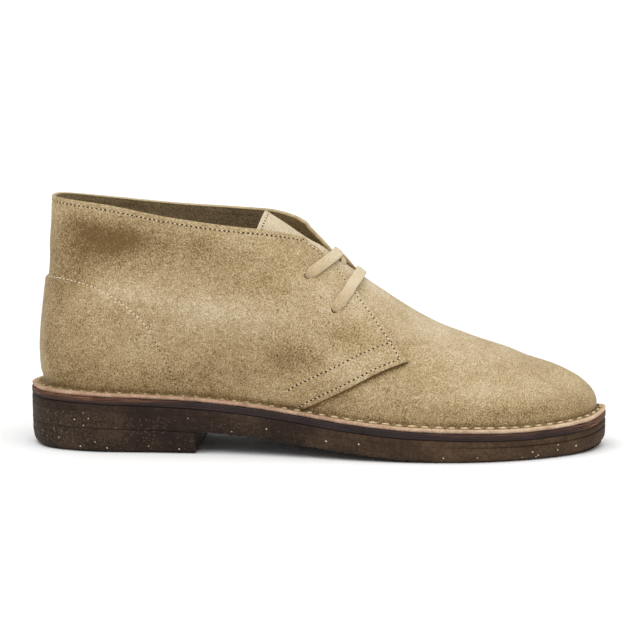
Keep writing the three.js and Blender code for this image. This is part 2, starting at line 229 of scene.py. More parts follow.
def wallAt(u, share):  # outer face of the wall: share 0 at its foot, 1 at its top
    t, q = share, 1 - share
    weights = (q * q * q, 3 * q * q * t, 3 * q * t * t, t * t * t)
    a, b, between = ribPair(u)
    return sum((a[k].lerp(b[k], between) * weights[k] for k in range(4)), Vector())


def footAt(u, part):  # upper face of the turned-out foot: part 0 at the fold, 1 at the edge
    a, b, between = ribPair(u)
    point = a[0].lerp(b[0], between) + a[4].lerp(b[4], between) * (mix(a[5], b[5], between) - 0.2) * part
    point.z = profileAt("seat", point.x) + last["gap"] + last["suede"]
    return point


def wallNormal(u, share):
    step = 0.01
    level = min(share, 0.985)  # the ribs meet at the top of the toe
    up = wallAt(u, min(1, share + step)) - wallAt(u, max(0, share - step))
    return (wallAt(u + step, level) - wallAt(u - step, level)).cross(up).normalized()


lengths = [0.0]  # distance round the wall from the back of the heel, at each rib
for i in range(1, len(ribs)):
    step = wallAt(i / last["ribsPerSection"], 0.35) - wallAt((i - 1) / last["ribsPerSection"], 0.35)
    lengths.append(lengths[-1] + step.length)


def lengthAt(u):
    place = clamp(u, 0, lap) * last["ribsPerSection"]
    i = min(int(place), len(ribs) - 2)
    return mix(lengths[i], lengths[i + 1], place - i)


def sectionAtLength(length):
    low, high = 0, len(lengths) - 1
    while high - low > 1:
        half = (low + high) // 2
        if lengths[half] <= length:
            low = half
        else:
            high = half
    span = lengths[high] - lengths[low]
    return (low + (length - lengths[low]) / span) / last["ribsPerSection"]


# where the table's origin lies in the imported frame
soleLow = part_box("outsole")[0]
widest = min(along("y", i / 50) for i in range(toe * 50))
origin = Vector((soleLow[0] / mm, soleLow[1] / mm - widest, 0))


def toFrame(point):
    return (Vector(point) + origin) * mm


# shared making
def unitGrid(bm, columns, rows):  # a grid of vertices, which the piece's own formula then places
    made = bmesh.ops.create_grid(bm, x_segments=columns, y_segments=rows, size=1)["verts"]
    table = {}
    for vert in made:
        table[round((vert.co.x + 1) / 2 * columns), round((vert.co.y + 1) / 2 * rows)] = vert
    return table


def smoothAll(bm, verts):
    bmesh.ops.smooth_vert(bm, verts=verts, factor=0.5, use_axis_x=True, use_axis_y=True, use_axis_z=True)


def turnOutwards(bm, face, outwards):
    bm.normal_update()
    if face.normal.dot(outwards) < 0:
        bmesh.ops.reverse_faces(bm, faces=bm.faces[:])
    bm.normal_update()


def finishPiece(bm, name, materials, node=None, smooth=True):
    mesh = bpy.data.meshes.new(name)
    bm.to_mesh(mesh)
    bm.free()
    piece = bpy.data.objects.new(name, mesh)
    bpy.context.scene.collection.objects.link(piece)
    for material in materials:
        mesh.materials.append(material)
    if smooth is not None:
        for face in mesh.polygons:
            face.use_smooth = smooth
    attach(piece, "root")
    if node:
        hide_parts(*node)
    return piece


def addWall(piece, thickness, flesh=0, cut=0):
    wall = piece.modifiers.new("wall", "SOLIDIFY")
    wall.thickness = thickness * mm
    wall.offset = -1
    wall.use_even_offset = True
    wall.use_quality_normals = True
    wall.material_offset = flesh
    wall.material_offset_rim = cut


print("last ready,", len(ribs), "ribs")


# finishes
def newFinish(name, colour, roughness, specular=0.3):
    material = bpy.data.materials.new(name)
    material.use_nodes = True
    material.diffuse_color = (*colour, 1)
    shader = material.node_tree.nodes["Principled BSDF"]
    shader.inputs["Base Color"].default_value = (*colour, 1)
    shader.inputs["Roughness"].default_value = roughness
    shader.inputs["Specular IOR Level"].default_value = specular
    return material, shader


def node(material, kind, links=None, **settings):
    made = material.node_tree.nodes.new("ShaderNode" + kind)
    for name, value in settings.items():
        if hasattr(made, name):
            setattr(made, name, value)
        else:
            made.inputs[name.replace("_", " ")].default_value = value
    for name, source in (links or {}).items():
        material.node_tree.links.new(source, made.inputs[name])
    return made


def objectPlace(material):
    return node(material, "TexCoord").outputs["Object"]


def noiseAt(material, place, scale, detail=3.0, roughness=0.6):
    made = node(material, "TexNoise", {"Vector": place}, Scale=scale, Detail=detail, Roughness=roughness)
    return made.outputs["Fac"]


def arithmetic(material, operation, a, b):
    made = node(material, "Math", operation=operation)
    for socket, value in zip(made.inputs, (a, b)):
        if isinstance(value, (int, float)):
            socket.default_value = value
        else:
            material.node_tree.links.new(value, socket)
    return made.outputs[0]


def weighted(material, *parts):  # the sum of each source times its weight
    total = None
    for source, weight in parts:
        part = arithmetic(material, "MULTIPLY", source, weight)
        total = part if total is None else arithmetic(material, "ADD", total, part)
    return total


def spread(material, value, low, high, first=0.0, final=1.0):  # low to high becomes first to final
    made = node(
        material, "MapRange", {"Value": value}, From_Min=low, From_Max=high, To_Min=first, To_Max=final
    )
    return made.outputs["Result"]


def attributeValue(material, name):
    return node(material, "Attribute", attribute_name=name).outputs["Fac"]


def ramp(material, factor, stops):
    made = node(material, "ValToRGB", {"Fac": factor})
    elements = made.color_ramp.elements
    while len(elements) < len(stops):
        elements.new(0.5)
    for element, (place, colour) in zip(elements, stops):
        element.position = place
        element.color = (*colour, 1)
    return made.outputs["Color"]


def mixColour(material, factor, a, b, blend="MIX"):
    made = node(material, "Mix", data_type="RGBA", blend_type=blend)
    for index, value in ((0, factor), (6, a), (7, b)):
        if hasattr(value, "links"):
            material.node_tree.links.new(value, made.inputs[index])
        else:
            made.inputs[index].default_value = value if index == 0 else (*value, 1)
    return made.outputs[2]


def addBump(material, shader, height, strength, distance, under=None):
    links = {"Height": height}
    if under:
        links["Normal"] = under
    made = node(material, "Bump", links, Strength=strength, Distance=distance)
    material.node_tree.links.new(made.outputs["Normal"], shader.inputs["Normal"])
    return made.outputs["Normal"]


def colourInto(material, shader, colour):
    material.node_tree.links.new(colour, shader.inputs["Base Color"])


suedeLook = {
    "dark": (0.15, 0.088, 0.03),
    "middle": (0.435, 0.32, 0.165),
    "light": (0.7, 0.598, 0.437),
    "fleck": (0.06, 0.038, 0.018),
    "nap": 1450,  # noise scales, per metre
    "clump": 380,
    "mottle": 85,
    "cloud": 24,
    "weights": (1.6, 0.5, 0.42, 0.3),  # of nap, clump, mottle and cloud
    "fleckScale": 230.0,
    "fleckSize": 0.12,
    "fleckRarity": 0.93,
}
# darker colours for the flesh side: partly its own colour, partly painted shade for the inside of the boot
shadedFleshLook = {"dark": (0.09, 0.056, 0.022), "middle": (0.25, 0.18, 0.092), "light": (0.44, 0.34, 0.2)}


def makeSuede(name, look, flecks=True):
    material, shader = newFinish(name, look["middle"], 0.93, 0.18)
    shader.inputs["Sheen Weight"].default_value = 0.22
    shader.inputs["Sheen Roughness"].default_value = 0.45
    shader.inputs["Sheen Tint"].default_value = (0.95, 0.86, 0.68, 1)
    place = objectPlace(material)
    nap = noiseAt(material, place, look["nap"], 1.5, 0.6)
    clump = noiseAt(material, place, look["clump"], 4, 0.75)
    mottle = noiseAt(material, place, look["mottle"], 5, 0.65)
    cloud = noiseAt(material, place, look["cloud"], 3, 0.5)
    # the tone attribute carries painted shade and painted light as well as the nap's own unevenness
    value = arithmetic(material, "ADD", attributeValue(material, "tone"), 0.5)
    for source, weight in zip((nap, clump, mottle, cloud), look["weights"]):
        centred = arithmetic(material, "SUBTRACT", source, 0.5)
        value = arithmetic(material, "ADD", value, arithmetic(material, "MULTIPLY", centred, weight))
    colour = ramp(material, value, [(0.0, look["dark"]), (0.5, look["middle"]), (1.0, look["light"])])
    if flecks:
        cells = node(material, "TexVoronoi", {"Vector": place}, Scale=look["fleckScale"])
        speck = arithmetic(material, "LESS_THAN", cells.outputs["Distance"], look["fleckSize"])
        parts = node(material, "SeparateColor", {"Color": cells.outputs["Color"]})
        chosen = arithmetic(material, "GREATER_THAN", parts.outputs["Red"], look["fleckRarity"])
        both = arithmetic(material, "MULTIPLY", speck, chosen)
        colour = mixColour(material, arithmetic(material, "MULTIPLY", both, 0.75), colour, look["fleck"])
    colourInto(material, shader, colour)
    coarse = addBump(material, shader, clump, 0.6, 0.45 * mm)
    addBump(material, shader, nap, 0.8, 0.4 * mm, coarse)
    return material


cutEdgeLook = {  # ramp stops
    "foot": [(0.3, (0.2, 0.1, 0.06)), (0.5, (0.48, 0.3, 0.2)), (0.7, (0.76, 0.56, 0.41))],
    "footAtToe": [(0.3, (0.34, 0.21, 0.12)), (0.5, (0.64, 0.46, 0.31)), (0.7, (0.84, 0.69, 0.5))],
    "collar": [(0.25, (0.22, 0.15, 0.07)), (0.5, (0.5, 0.39, 0.22)), (0.75, (0.74, 0.62, 0.42))],
    "toeFrom": (0.0, 0.11),  # metres along X
    "collarFrom": (0.034, 0.042),  # metres above the floor
}


def makeCutEdge(name):  # pale along the collar, pinker along the foot's edge by the heel
    material, shader = newFinish(name, (0.62, 0.45, 0.28), 0.9, 0.2)
    place = objectPlace(material)
    fibre = noiseAt(material, place, 900, 4, 0.75)
    patch = noiseAt(material, place, 120, 3, 0.6)
    value = weighted(material, (fibre, 0.6), (patch, 0.4))
    foot, footAtToe, collar = [ramp(material, value, cutEdgeLook[k]) for k in ("foot", "footAtToe", "collar")]
    parts = node(material, "SeparateXYZ", {"Vector": place})
    forward = spread(material, parts.outputs["X"], *cutEdgeLook["toeFrom"])
    foot = mixColour(material, forward, foot, footAtToe)
    onCollar = spread(material, parts.outputs["Z"], *cutEdgeLook["collarFrom"])
    colourInto(material, shader, mixColour(material, onCollar, foot, collar))
    addBump(material, shader, fibre, 0.7, 0.25 * mm)
    return material


def makeThread(name, colour):
    material, shader = newFinish(name, colour, 0.75, 0.3)
    shader.inputs["Sheen Weight"].default_value = 0.2
    ply = noiseAt(material, objectPlace(material), 1800, 2, 0.5)
    dark = tuple(c * 0.62 for c in colour)
    colourInto(material, shader, ramp(material, ply, [(0.3, dark), (0.65, colour)]))
    addBump(material, shader, ply, 0.5, 0.12 * mm)
    return material


# painted shade: a dark bead stands for the shade inside a needle hole
def makeNeedleHoleShade(name):
    material, shader = newFinish(name, (0.035, 0.022, 0.012), 1.0, 0.0)
    grain = noiseAt(material, objectPlace(material), 1500, 2)
    colour = ramp(material, grain, [(0.3, (0.03, 0.018, 0.009)), (0.7, (0.1, 0.064, 0.034))])
    colourInto(material, shader, colour)
    return material


laceLook = {  # ramp stops
    "clean": [(0.12, (0.36, 0.26, 0.14)), (0.4, (0.72, 0.59, 0.375)), (0.7, (0.87, 0.77, 0.57))],
    "rubbed": [(0.15, (0.2, 0.125, 0.06)), (0.45, (0.5, 0.36, 0.19)), (0.7, (0.78, 0.64, 0.42))],
    "rubbedTo": (5.0, 26.0),  # millimetres along the lace from its hole, where the rubbing fades
    "slants": 8.0,  # plaits and wales, as radians a millimetre
    "wales": 7.5,
}


def makeLaceCotton(name):  # flat braid: u runs along the lace and v across it, in millimetres
    material, shader = newFinish(name, (0.82, 0.72, 0.5), 0.85, 0.2)
    shader.inputs["Sheen Weight"].default_value = 0.3
    shader.inputs["Sheen Roughness"].default_value = 0.4
    uv = node(material, "TexCoord").outputs["UV"]
    parts = node(material, "SeparateXYZ", {"Vector": uv})
    away = arithmetic(material, "ABSOLUTE", parts.outputs["Y"], 0)
    slant = arithmetic(material, "ADD", parts.outputs["X"], away)
    plait = arithmetic(material, "SINE", arithmetic(material, "MULTIPLY", slant, laceLook["slants"]), 0)
    wales = arithmetic(material, "MULTIPLY", parts.outputs["Y"], laceLook["wales"])
    wales = arithmetic(material, "COSINE", wales, 0)
    plait = arithmetic(material, "ADD", plait, 1.3)
    braid = arithmetic(material, "MULTIPLY", plait, arithmetic(material, "ADD", wales, 1.6))
    height = arithmetic(material, "MULTIPLY", braid, 0.17)
    fuzz = noiseAt(material, objectPlace(material), 1300, 3)
    value = weighted(material, (height, 0.55), (fuzz, 0.45))
    clean, rubbed = [ramp(material, value, laceLook[k]) for k in ("clean", "rubbed")]
    nearHole = spread(material, parts.outputs["X"], *laceLook["rubbedTo"], 0.95, 0.0)
    patch = noiseAt(material, objectPlace(material), 260, 3)
    dirty = arithmetic(material, "MULTIPLY", nearHole, arithmetic(material, "ADD", patch, 0.45))
    colourInto(material, shader, mixColour(material, dirty, clean, rubbed))
    addBump(material, shader, height, 0.55, 0.3 * mm)
    return material


crepeLook = {
    "dark": (0.011, 0.0065, 0.005),
    "middle": (0.029, 0.0172, 0.0115),
    "light": (0.08, 0.05, 0.032),
    "toeDark": (0.022, 0.0115, 0.006),
    "toeMiddle": (0.058, 0.033, 0.018),
    "toeLight": (0.13, 0.082, 0.045),
    "toeFrom": (-0.02, 0.06),  # metres along X
    "richFrom": (-0.152, -0.1),  # the back of the heel has the most flecks
    "dimFleck": (0.1, 0.073, 0.046),
    "goldFleck": (0.28, 0.22, 0.135),
    "paleFleck": (0.72, 0.64, 0.5),
    "flecks": (  # cells per metre, size within a cell, rarity, how much commoner at the back, colour
        (900.0, 0.36, 0.96, 0.3, "light"),
        (1600.0, 0.36, 1.12, 0.45, "dimFleck"),
        (1000.0, 0.27, 1.21, 0.1, "goldFleck"),
        (520.0, 0.22, 1.12, 0.0, "paleFleck"),
    ),
}


def makeCrepe(name):
    material, shader = newFinish(name, crepeLook["middle"], 0.62, 0.14)
    place = objectPlace(material)
    cloud = noiseAt(material, place, 38, 4, 0.6)
    grain = noiseAt(material, place, 620, 4, 0.7)
    value = weighted(material, (cloud, 0.55), (grain, 0.45))

    def shades(*names):
        return ramp(material, value, list(zip((0.3, 0.5, 0.72), (crepeLook[name] for name in names))))

    heelColour = shades("dark", "middle", "light")
    toeColour = shades("toeDark", "toeMiddle", "toeLight")
    lengthwise = node(material, "SeparateXYZ", {"Vector": place}).outputs["X"]
    colour = mixColour(material, spread(material, lengthwise, *crepeLook["toeFrom"]), heelColour, toeColour)
    clean = attributeValue(material, "clean")  # 1 on the smooth band under the midsole
    speckled = arithmetic(material, "SUBTRACT", 1.0, clean)
    wobble = noiseAt(material, place, 900, 2)
    drift = node(material, "TexNoise", {"Vector": place}, Scale=700.0).outputs["Color"]
    moved = node(material, "VectorMath", operation="ADD")
    shift = node(material, "VectorMath", operation="SCALE", Scale=0.0004)
    material.node_tree.links.new(drift, shift.inputs[0])
    material.node_tree.links.new(place, moved.inputs[0])
    material.node_tree.links.new(shift.outputs[0], moved.inputs[1])
    rich = spread(material, lengthwise, *crepeLook["richFrom"], 1.0, 0.0)
    for scale, size, rarity, more, colourName in crepeLook["flecks"]:
        cells = node(material, "TexVoronoi", {"Vector": moved.outputs[0]}, Scale=scale)
        near = arithmetic(material, "LESS_THAN", cells.outputs["Distance"], size)
        parts = node(material, "SeparateColor", {"Color": cells.outputs["Color"]})
        patchy = weighted(material, (parts.outputs["Green"], 1.0), (cloud, 0.35), (rich, more))
        chosen = arithmetic(material, "GREATER_THAN", patchy, rarity)
        amount = arithmetic(material, "MULTIPLY", arithmetic(material, "MULTIPLY", near, chosen), speckled)
        colour = mixColour(material, amount, colour, crepeLook[colourName])
    colourInto(material, shader, colour)
    rough = arithmetic(material, "ADD", arithmetic(material, "MULTIPLY", wobble, 0.35), 0.5)
    material.node_tree.links.new(rough, shader.inputs["Roughness"])
    lumps = noiseAt(material, place, 230, 4, 0.65)
    first = addBump(material, shader, lumps, 0.5, 0.5 * mm)
    addBump(material, shader, grain, 0.35, 0.2 * mm, first)
    return material


midsoleLook = {  # ramp stops
    "plain": [(0.3, (0.014, 0.009, 0.0088)), (0.7, (0.034, 0.02, 0.019))],
    "red": [(0.3, (0.03, 0.012, 0.007)), (0.5, (0.11, 0.042, 0.02)), (0.75, (0.3, 0.14, 0.075))],
}


def makeMidsoleEdge(name):  # pressed board: thin level layers, redder towards the heel and toe
    material, shader = newFinish(name, (0.13, 0.062, 0.04), 0.6, 0.25)
    place = objectPlace(material)
    tint = attributeValue(material, "tint")
    layer = attributeValue(material, "layer")
    cloud = noiseAt(material, place, 60, 4, 0.6)
    streakPlace = node(material, "Mapping", {"Vector": place})
    streakPlace.inputs["Scale"].default_value = (120, 120, 2200)
    streak = noiseAt(material, streakPlace.outputs[0], 1.0, 3.0, 0.5)
    plain = ramp(material, cloud, midsoleLook["plain"])
    red = ramp(material, streak, midsoleLook["red"])
    colour = mixColour(material, arithmetic(material, "MULTIPLY", tint, layer), plain, red)
    colourInto(material, shader, colour)
    first = addBump(material, shader, streak, 0.5, 0.25 * mm)
    addBump(material, shader, cloud, 0.3, 0.3 * mm, first)
    return material


def makeInsoleLeather(name):
    material, shader = newFinish(name, (0.42, 0.28, 0.15), 0.55, 0.35)
    place = objectPlace(material)
    cloud = noiseAt(material, place, 30, 4)
    pores = node(material, "TexVoronoi", {"Vector": place}, Scale=850.0).outputs["Distance"]
    colourInto(material, shader, ramp(material, cloud, [(0.3, (0.3, 0.19, 0.1)), (0.7, (0.5, 0.35, 0.2))]))
    addBump(material, shader, pores, 0.25, 0.15 * mm)
    return material


suede = makeSuede("sandSuede", suedeLook)
shadedFleshSide = makeSuede("shadedFleshSide", {**suedeLook, **shadedFleshLook}, flecks=False)  # the flesh side's own looser inner face, painted darker as shade for the inside of the boot
cutEdge = makeCutEdge("cutEdge")
paleThread = makeThread("paleThread", (0.86, 0.74, 0.52))
soleThread = makeThread("soleThread", (0.74, 0.56, 0.34))
needleHoleShade = makeNeedleHoleShade("needleHoleShade")
laceCotton = makeLaceCotton("laceCotton")
crepe = makeCrepe("darkCrepe")
midsoleEdge = makeMidsoleEdge("midsoleBoard")
insoleLeather = makeInsoleLeather("insoleLeather")
print("finishes ready")

# camera, light and floor
studio = {
    "azimuth": 4.0,  # degrees round from straight onto the outer side, towards the toe
    "pitch": 7.6,
    "distance": 1.15,
    "height": 0.2194,
    "aside": 0.00145,
    "lens": 123.6,
    "sensor": 36,
    "skyLevel": 0.44,
    "skyStrength": 1.04,
    "floorTones": (0.955, 0.97),
    "lamps": (  # name, direction of the light, strength, softness in degrees
        ("overheadLight", (0.1, 0.3, -1), 2.25, 70),
        ("toeLight", (-1, 0.35, -0.7), 0.35, 60),
    ),
}


def makeStudio():
    scene = bpy.context.scene
    turn = math.radians(studio["azimuth"])
    camera = bpy.data.objects.new("camera", bpy.data.cameras.new("camera"))
    camera.data.lens = studio["lens"]
    camera.data.sensor_width = studio["sensor"]
    away = studio["distance"]
    camera.location = (math.sin(turn) * away + studio["aside"], -math.cos(turn) * away, studio["height"])
    camera.rotation_euler = Euler((math.radians(90 - studio["pitch"]), 0, turn))
    scene.collection.objects.link(camera)
    scene.camera = camera
    scene.view_settings.view_transform = "Standard"

    floorMaterial, shader = newFinish("paleFloor", (0.93, 0.93, 0.93), 0.7, 0.1)
    faint = noiseAt(floorMaterial, objectPlace(floorMaterial), 6)
    stops = [(place, (tone, tone, tone)) for place, tone in zip((0.3, 0.7), studio["floorTones"])]
    colourInto(floorMaterial, shader, ramp(floorMaterial, faint, stops))
    bm = bmesh.new()
    bmesh.ops.create_grid(bm, x_segments=1, y_segments=1, size=80)
    mesh = bpy.data.meshes.new("floor")
    bm.to_mesh(mesh)
    bm.free()
    mesh.materials.append(floorMaterial)
    floor = bpy.data.objects.new("floor", mesh)
    scene.collection.objects.link(floor)

    world = bpy.data.worlds.new("studio")
    scene.world = world
    world.use_nodes = True
    tree = world.node_tree
    background = tree.nodes["Background"]
    split = tree.nodes.new("ShaderNodeSeparateXYZ")
    tree.links.new(tree.nodes.new("ShaderNodeTexCoord").outputs["Generated"], split.inputs[0])
    sky = tree.nodes.new("ShaderNodeValToRGB")
    tree.links.new(split.outputs["Z"], sky.inputs["Fac"])
    tree.links.new(sky.outputs["Color"], background.inputs["Color"])
    level = studio["skyLevel"]
    sky.color_ramp.elements[0].position = 0.0
    sky.color_ramp.elements[0].color = (1, 1, 1, 1)
    sky.color_ramp.elements[1].position = 1.0
    sky.color_ramp.elements[1].color = (level, level, level, 1)
    edge = sky.color_ramp.elements.new(0.03)
    edge.color = (1, 1, 1, 1)
    low = sky.color_ramp.elements.new(0.1)
    low.color = (level, level, level, 1)
    background.inputs["Strength"].default_value = studio["skyStrength"]

    for name, aim, power, spread in studio["lamps"]:
        lamp = bpy.data.lights.new(name, "SUN")
        lamp.energy = power
        lamp.angle = math.radians(spread)
        holder = bpy.data.objects.new(name, lamp)
        holder.rotation_euler = Vector(aim).to_track_quat("-Z", "Y").to_euler()
        scene.collection.objects.link(holder)


makeStudio()
print("studio ready")

# panels of the upper, in side view (x, z): the quarter's front edge runs from the collar to a pointed corner,
# then back down to the sole
panels = {
    "frontLeg": [
        (146, 113.4), (149.5, 109.5), (157.3, 103.3), (165.3, 95.2), (171.8, 87.3),
        (178.8, 78.6), (186.9, 69.2), (194.3, 59.8), (201.1, 50.1),
    ],
    "lowerLeg": [(201.1, 50.1), (187.5, 45.1), (167.2, 34.9), (146.9, 24.7)],
    "innerLift": [3.6, 3.2, 1.8, 0.6],  # the inner collar stands higher at its front
    "counter": [
        (9, 90), (13.9, 89.9), (19.9, 89.7), (31.9, 87.6), (42.9, 84), (52.9, 78.6),
        (63.9, 69.5), (68.9, 62.3), (73.9, 53.5), (78.9, 43.3), (82.9, 32.9),
    ],
    "suede": 1.8,
    "overlap": 2.2,  # how far the quarter stands above the vamp at its front edge
    "settle": 45,  # distance over which it sinks back
    "counterRise": 1.0,  # how far the counter lifts the leather behind its stitches
    "backTrim": 0.9,  # how far the back seam is skived down
    "seamInside": 2.6,  # rows of stitches, from a panel's edge and from the collar
    "belowCollar": 2.8,
    "bedDepth": 0.22,  # the stitches press the leather in
    "bedWidth": 0.9,
}

# creases: soft troughs from one place to another in side view, with half width and depth
# a depth under 0 is a ridge
outerCreases = [
    ((30, 104.4), (60, 111.4), 9, 1.5),
    ((20, 119.4), (48, 122.4), 6, -0.4),
    ((62, 98.4), (112, 91.4), 8, 0.5),
    ((118, 99.4), (139, 80.4), 8, 0.9),
    ((126, 104.4), (150, 85.4), 4, -0.35),
    ((34, 89.4), (78, 77.4), 7, -0.6),
    ((88, 75.4), (130, 71.4), 9, -0.5),
    ((171, 63.4), (180, 59.4), 6, 0.7),
    ((128, 51.4), (150, 45.4), 9, 0.8),
    ((26, 73.4), (32, 59.4), 5, 0.5),
    ((150, 63.4), (164, 55.4), 5, 0.3),
    ((204, 67.4), (216, 59.4), 3, 0.35),
    ((210, 70.4), (224, 61.4), 3, 0.3),
    ((216, 41.4), (240, 31.4), 8, 0.35),
    ((248, 47.4), (262, 39.4), 6, 0.3),
    ((98, 41.4), (118, 53.4), 8, 0.4),
]
innerCreases = [
    ((34, 105.4), (66, 109.4), 9, 1.4),
    ((70, 99.4), (118, 89.4), 8, 0.6),
    ((120, 101.4), (142, 81.4), 7, 0.8),
    ((40, 85.4), (84, 75.4), 8, -0.5),
    ((130, 53.4), (154, 46.4), 9, 0.7),
    ((206, 65.4), (220, 57.4), 3, 0.35),
    ((212, 45.4), (242, 33.4), 8, 0.4),
    ((92, 39.4), (122, 49.4), 9, 0.6),
]

# patches of the nap's tone, partly wear marks and partly painted shade in hollows and painted light on raised
# parts: centre, half width, half height, amount
outerNapMarksAndPaintedLight = [
    (58, 106, 56, 17, -0.21),
    (14, 100, 12, 26, -0.07),
    (62, 44, 42, 13, -0.09),
    (170, 72, 16, 17, 0.14),
    (10, 40, 8, 10, 0.12),
    (50, 110, 20, 8, -0.42),
    (33, 117, 9, 7, -0.2),
    (30, 100, 14, 8, -0.14),
    (95, 107.4, 11, 7, -0.14),
    (122, 88, 14, 11, -0.16),
    (15, 66, 13, 44, -0.2),
    (58, 84, 18, 6, 0.2),
    (105, 76, 30, 8, 0.18),
    (170, 63, 10, 7, -0.3),
    (142, 53, 18, 8, -0.26),
    (118, 44, 16, 6, -0.1),
    (66, 43, 18, 6, 0.04),
    (38, 52, 24, 16, -0.1),
    (30, 68, 7, 6, -0.1),
    (104, 52, 22, 12, -0.06),
    (134, 32.4, 12, 6, 0.08),
    (176, 48.4, 16, 5, 0.08),
    (160, 81.4, 12, 9, 0.05),
    (212, 62, 26, 14, 0.09),
    (246, 35.4, 28, 7, 0.1),
    (256, 45.4, 12, 4, -0.05),
    (208, 41.4, 10, 7, -0.06),
    (284, 38, 16, 10, 0.05),
    (115, 111.4, 24, 7, 0.06),
    (30, 88, 9, 8, -0.13),
    (270, 24, 26, 5, -0.13),
    (84, 43, 14, 8, -0.09),
    (160, 38, 16, 5, -0.11),
    (12, 42, 7, 8, 0.12),
]
innerNapMarksAndPaintedLight = [
    (50, 107.4, 16, 8, -0.16),
    (122, 89.4, 10, 11, -0.1),
    (100, 73.4, 34, 8, 0.09),
    (145, 49.4, 14, 9, -0.1),
    (240, 37.4, 28, 9, 0.08),
    (60, 45.4, 20, 9, 0.06),
    (215, 53.4, 24, 14, 0.04),
]


def placeOnSide(x, z, inner=False):  # section number and share at a place in side view
    def shareAt(u):
        low, high = 0.0, 1.0
        for _ in range(15):
            half = (low + high) / 2
            low, high = (half, high) if wallAt(u, half).z < z else (low, half)
        return (low + high) / 2

    low, high = 0.0, float(toe)
    for _ in range(17):
        half = (low + high) / 2
        u = lap - half if inner else half
        low, high = (half, high) if wallAt(u, shareAt(u)).x < x else (low, half)
    u = lap - half if inner else half
    return u, shareAt(u)


def sideCurve(points, steps):
    return curveThrough([Vector(p) for p in points], steps)


def frontEdge(inner):  # (share, section) pairs from the fold up to the collar
    lift = panels["innerLift"] if inner else []
    leg = [(x, z + (lift[i] if i < len(lift) else 0)) for i, (x, z) in enumerate(panels["frontLeg"])]
    places = []
    for part in (panels["lowerLeg"][::-1], leg[::-1]):
        for x, z in sideCurve(part, 6):
            u, share = placeOnSide(x, z, inner)
            if not places or share > places[-1][0] + 0.002:
                places.append((share, u))
    cornerShare = placeOnSide(*leg[-1], inner)[1]
    places[0] = (0.0, places[0][1])
    places[-1] = (1.0, places[-1][1])
    return places, cornerShare


def tableAt(table, value):
    for (a, p), (b, q) in zip(table, table[1:]):
        if value <= b:
            return mix(p, q, clamp((value - a) / (b - a)))
    return table[-1][1]


def sectionByX(x):  # section whose place on the ridge is nearest to x
    low, high = float(last["collarEnd"]), float(toe)
    for _ in range(12):
        half = (low + high) / 2
        low, high = (half, high) if topAt(half).x < x else (low, half)
    return low


def sideDistance(x, z, crease):
    (ax, az), (bx, bz) = crease[:2]
    dx, dz = bx - ax, bz - az
    t = clamp(((x - ax) * dx + (z - az) * dz) / (dx * dx + dz * dz))
    return math.hypot(x - ax - dx * t, z - az - dz * t)


waves = ((34, 0.45), (11, 0.16), (4.5, 0.07))  # length and height of the leather's unevenness
napToneAndPaintedLight = {
    "unevenness": 0.05,
    "foldShade": 0.16,  # painted shade low on the wall, and a deeper painted shadow in the fold
    "foldPaintedShadow": 0.22,
    "crestPaintedLight": 0.14,  # painted light: the top of the vamp is paler where light from above falls on it
}


def reliefAt(point, inner):
    x, z = point.x, point.z
    depth = 0.0
    for crease in innerCreases if inner else outerCreases:
        away = sideDistance(x, z, crease) / crease[2]
        if away < 2.5:
            depth += crease[3] * math.exp(-away * away)
    depth *= smoothStep(1.5, 9, z - profileAt("seat", x))
    return sum(height * noise.noise(point / length) for length, height in waves) - depth


# the nap's tone: random unevenness, wear marks, painted shade and painted light
def toneAt(point, inner):
    tone = napToneAndPaintedLight["unevenness"] * noise.noise(point / 26 + Vector((7, 3, 1)))
    for x, z, wide, high, amount in innerNapMarksAndPaintedLight if inner else outerNapMarksAndPaintedLight:
        away = ((point.x - x) / wide) ** 2 + ((point.z - z) / high) ** 2
        if away < 6:
            tone += amount * math.exp(-away)
    above = point.z - profileAt("seat", point.x)
    # painted shade low on the wall, and a deeper painted shadow in the fold
    tone -= napToneAndPaintedLight["foldShade"] * (1 - smoothStep(6, 24, above))
    tone -= napToneAndPaintedLight["foldPaintedShadow"] * (1 - smoothStep(2.2, 6, above))
    # painted light along the top of the vamp
    crest = topAt(clamp(sectionByX(point.x), last["collarEnd"], toe)).z
    onVamp = smoothStep(158, 176, point.x) * (1 - smoothStep(255, 280, point.x))
    return tone + napToneAndPaintedLight["crestPaintedLight"] * smoothStep(14, 1, crest - point.z) * onVamp


def vampDrop(u, share):  # the vamp and tongue lie under the quarters near the throat
    side = lap - u if u > toe else u
    return 0.3 + 1.9 * smoothStep(0.5, 0.8, share) * (1 - smoothStep(8.6, 10.2, side))


edges = {}
for inner in (False, True):
    table, cornerShare = frontEdge(inner)
    line = KDTree(len(table) * 8)
    run = []
    for i in range(len(table) * 8):
        share = i / (len(table) * 8 - 1)
        u = tableAt(table, share)
        run.append((wallAt(u, share), u, share))
        line.insert(run[-1][0], i)
    line.balance()
    edges[inner] = {"table": table, "corner": cornerShare, "line": line, "run": run}

counterCurve = sideCurve(panels["counter"], 10)
counterLine = KDTree(len(counterCurve))
for i, place in enumerate(counterCurve):
    counterLine.insert((place.x, place.y, 0), i)
counterLine.balance()


def counterStep(x, z):  # over 0 below and behind the counter's stitches
    found, i, away = counterLine.find((x, z, 0))
    run = counterCurve[min(i + 1, len(counterCurve) - 1)] - counterCurve[max(i - 1, 0)]
    side = run.x * (z - found.y) - run.y * (x - found.x)
    return -away if side > 0 else away


def stitchBed(away):
    return math.exp(-((away / panels["bedWidth"]) ** 2))


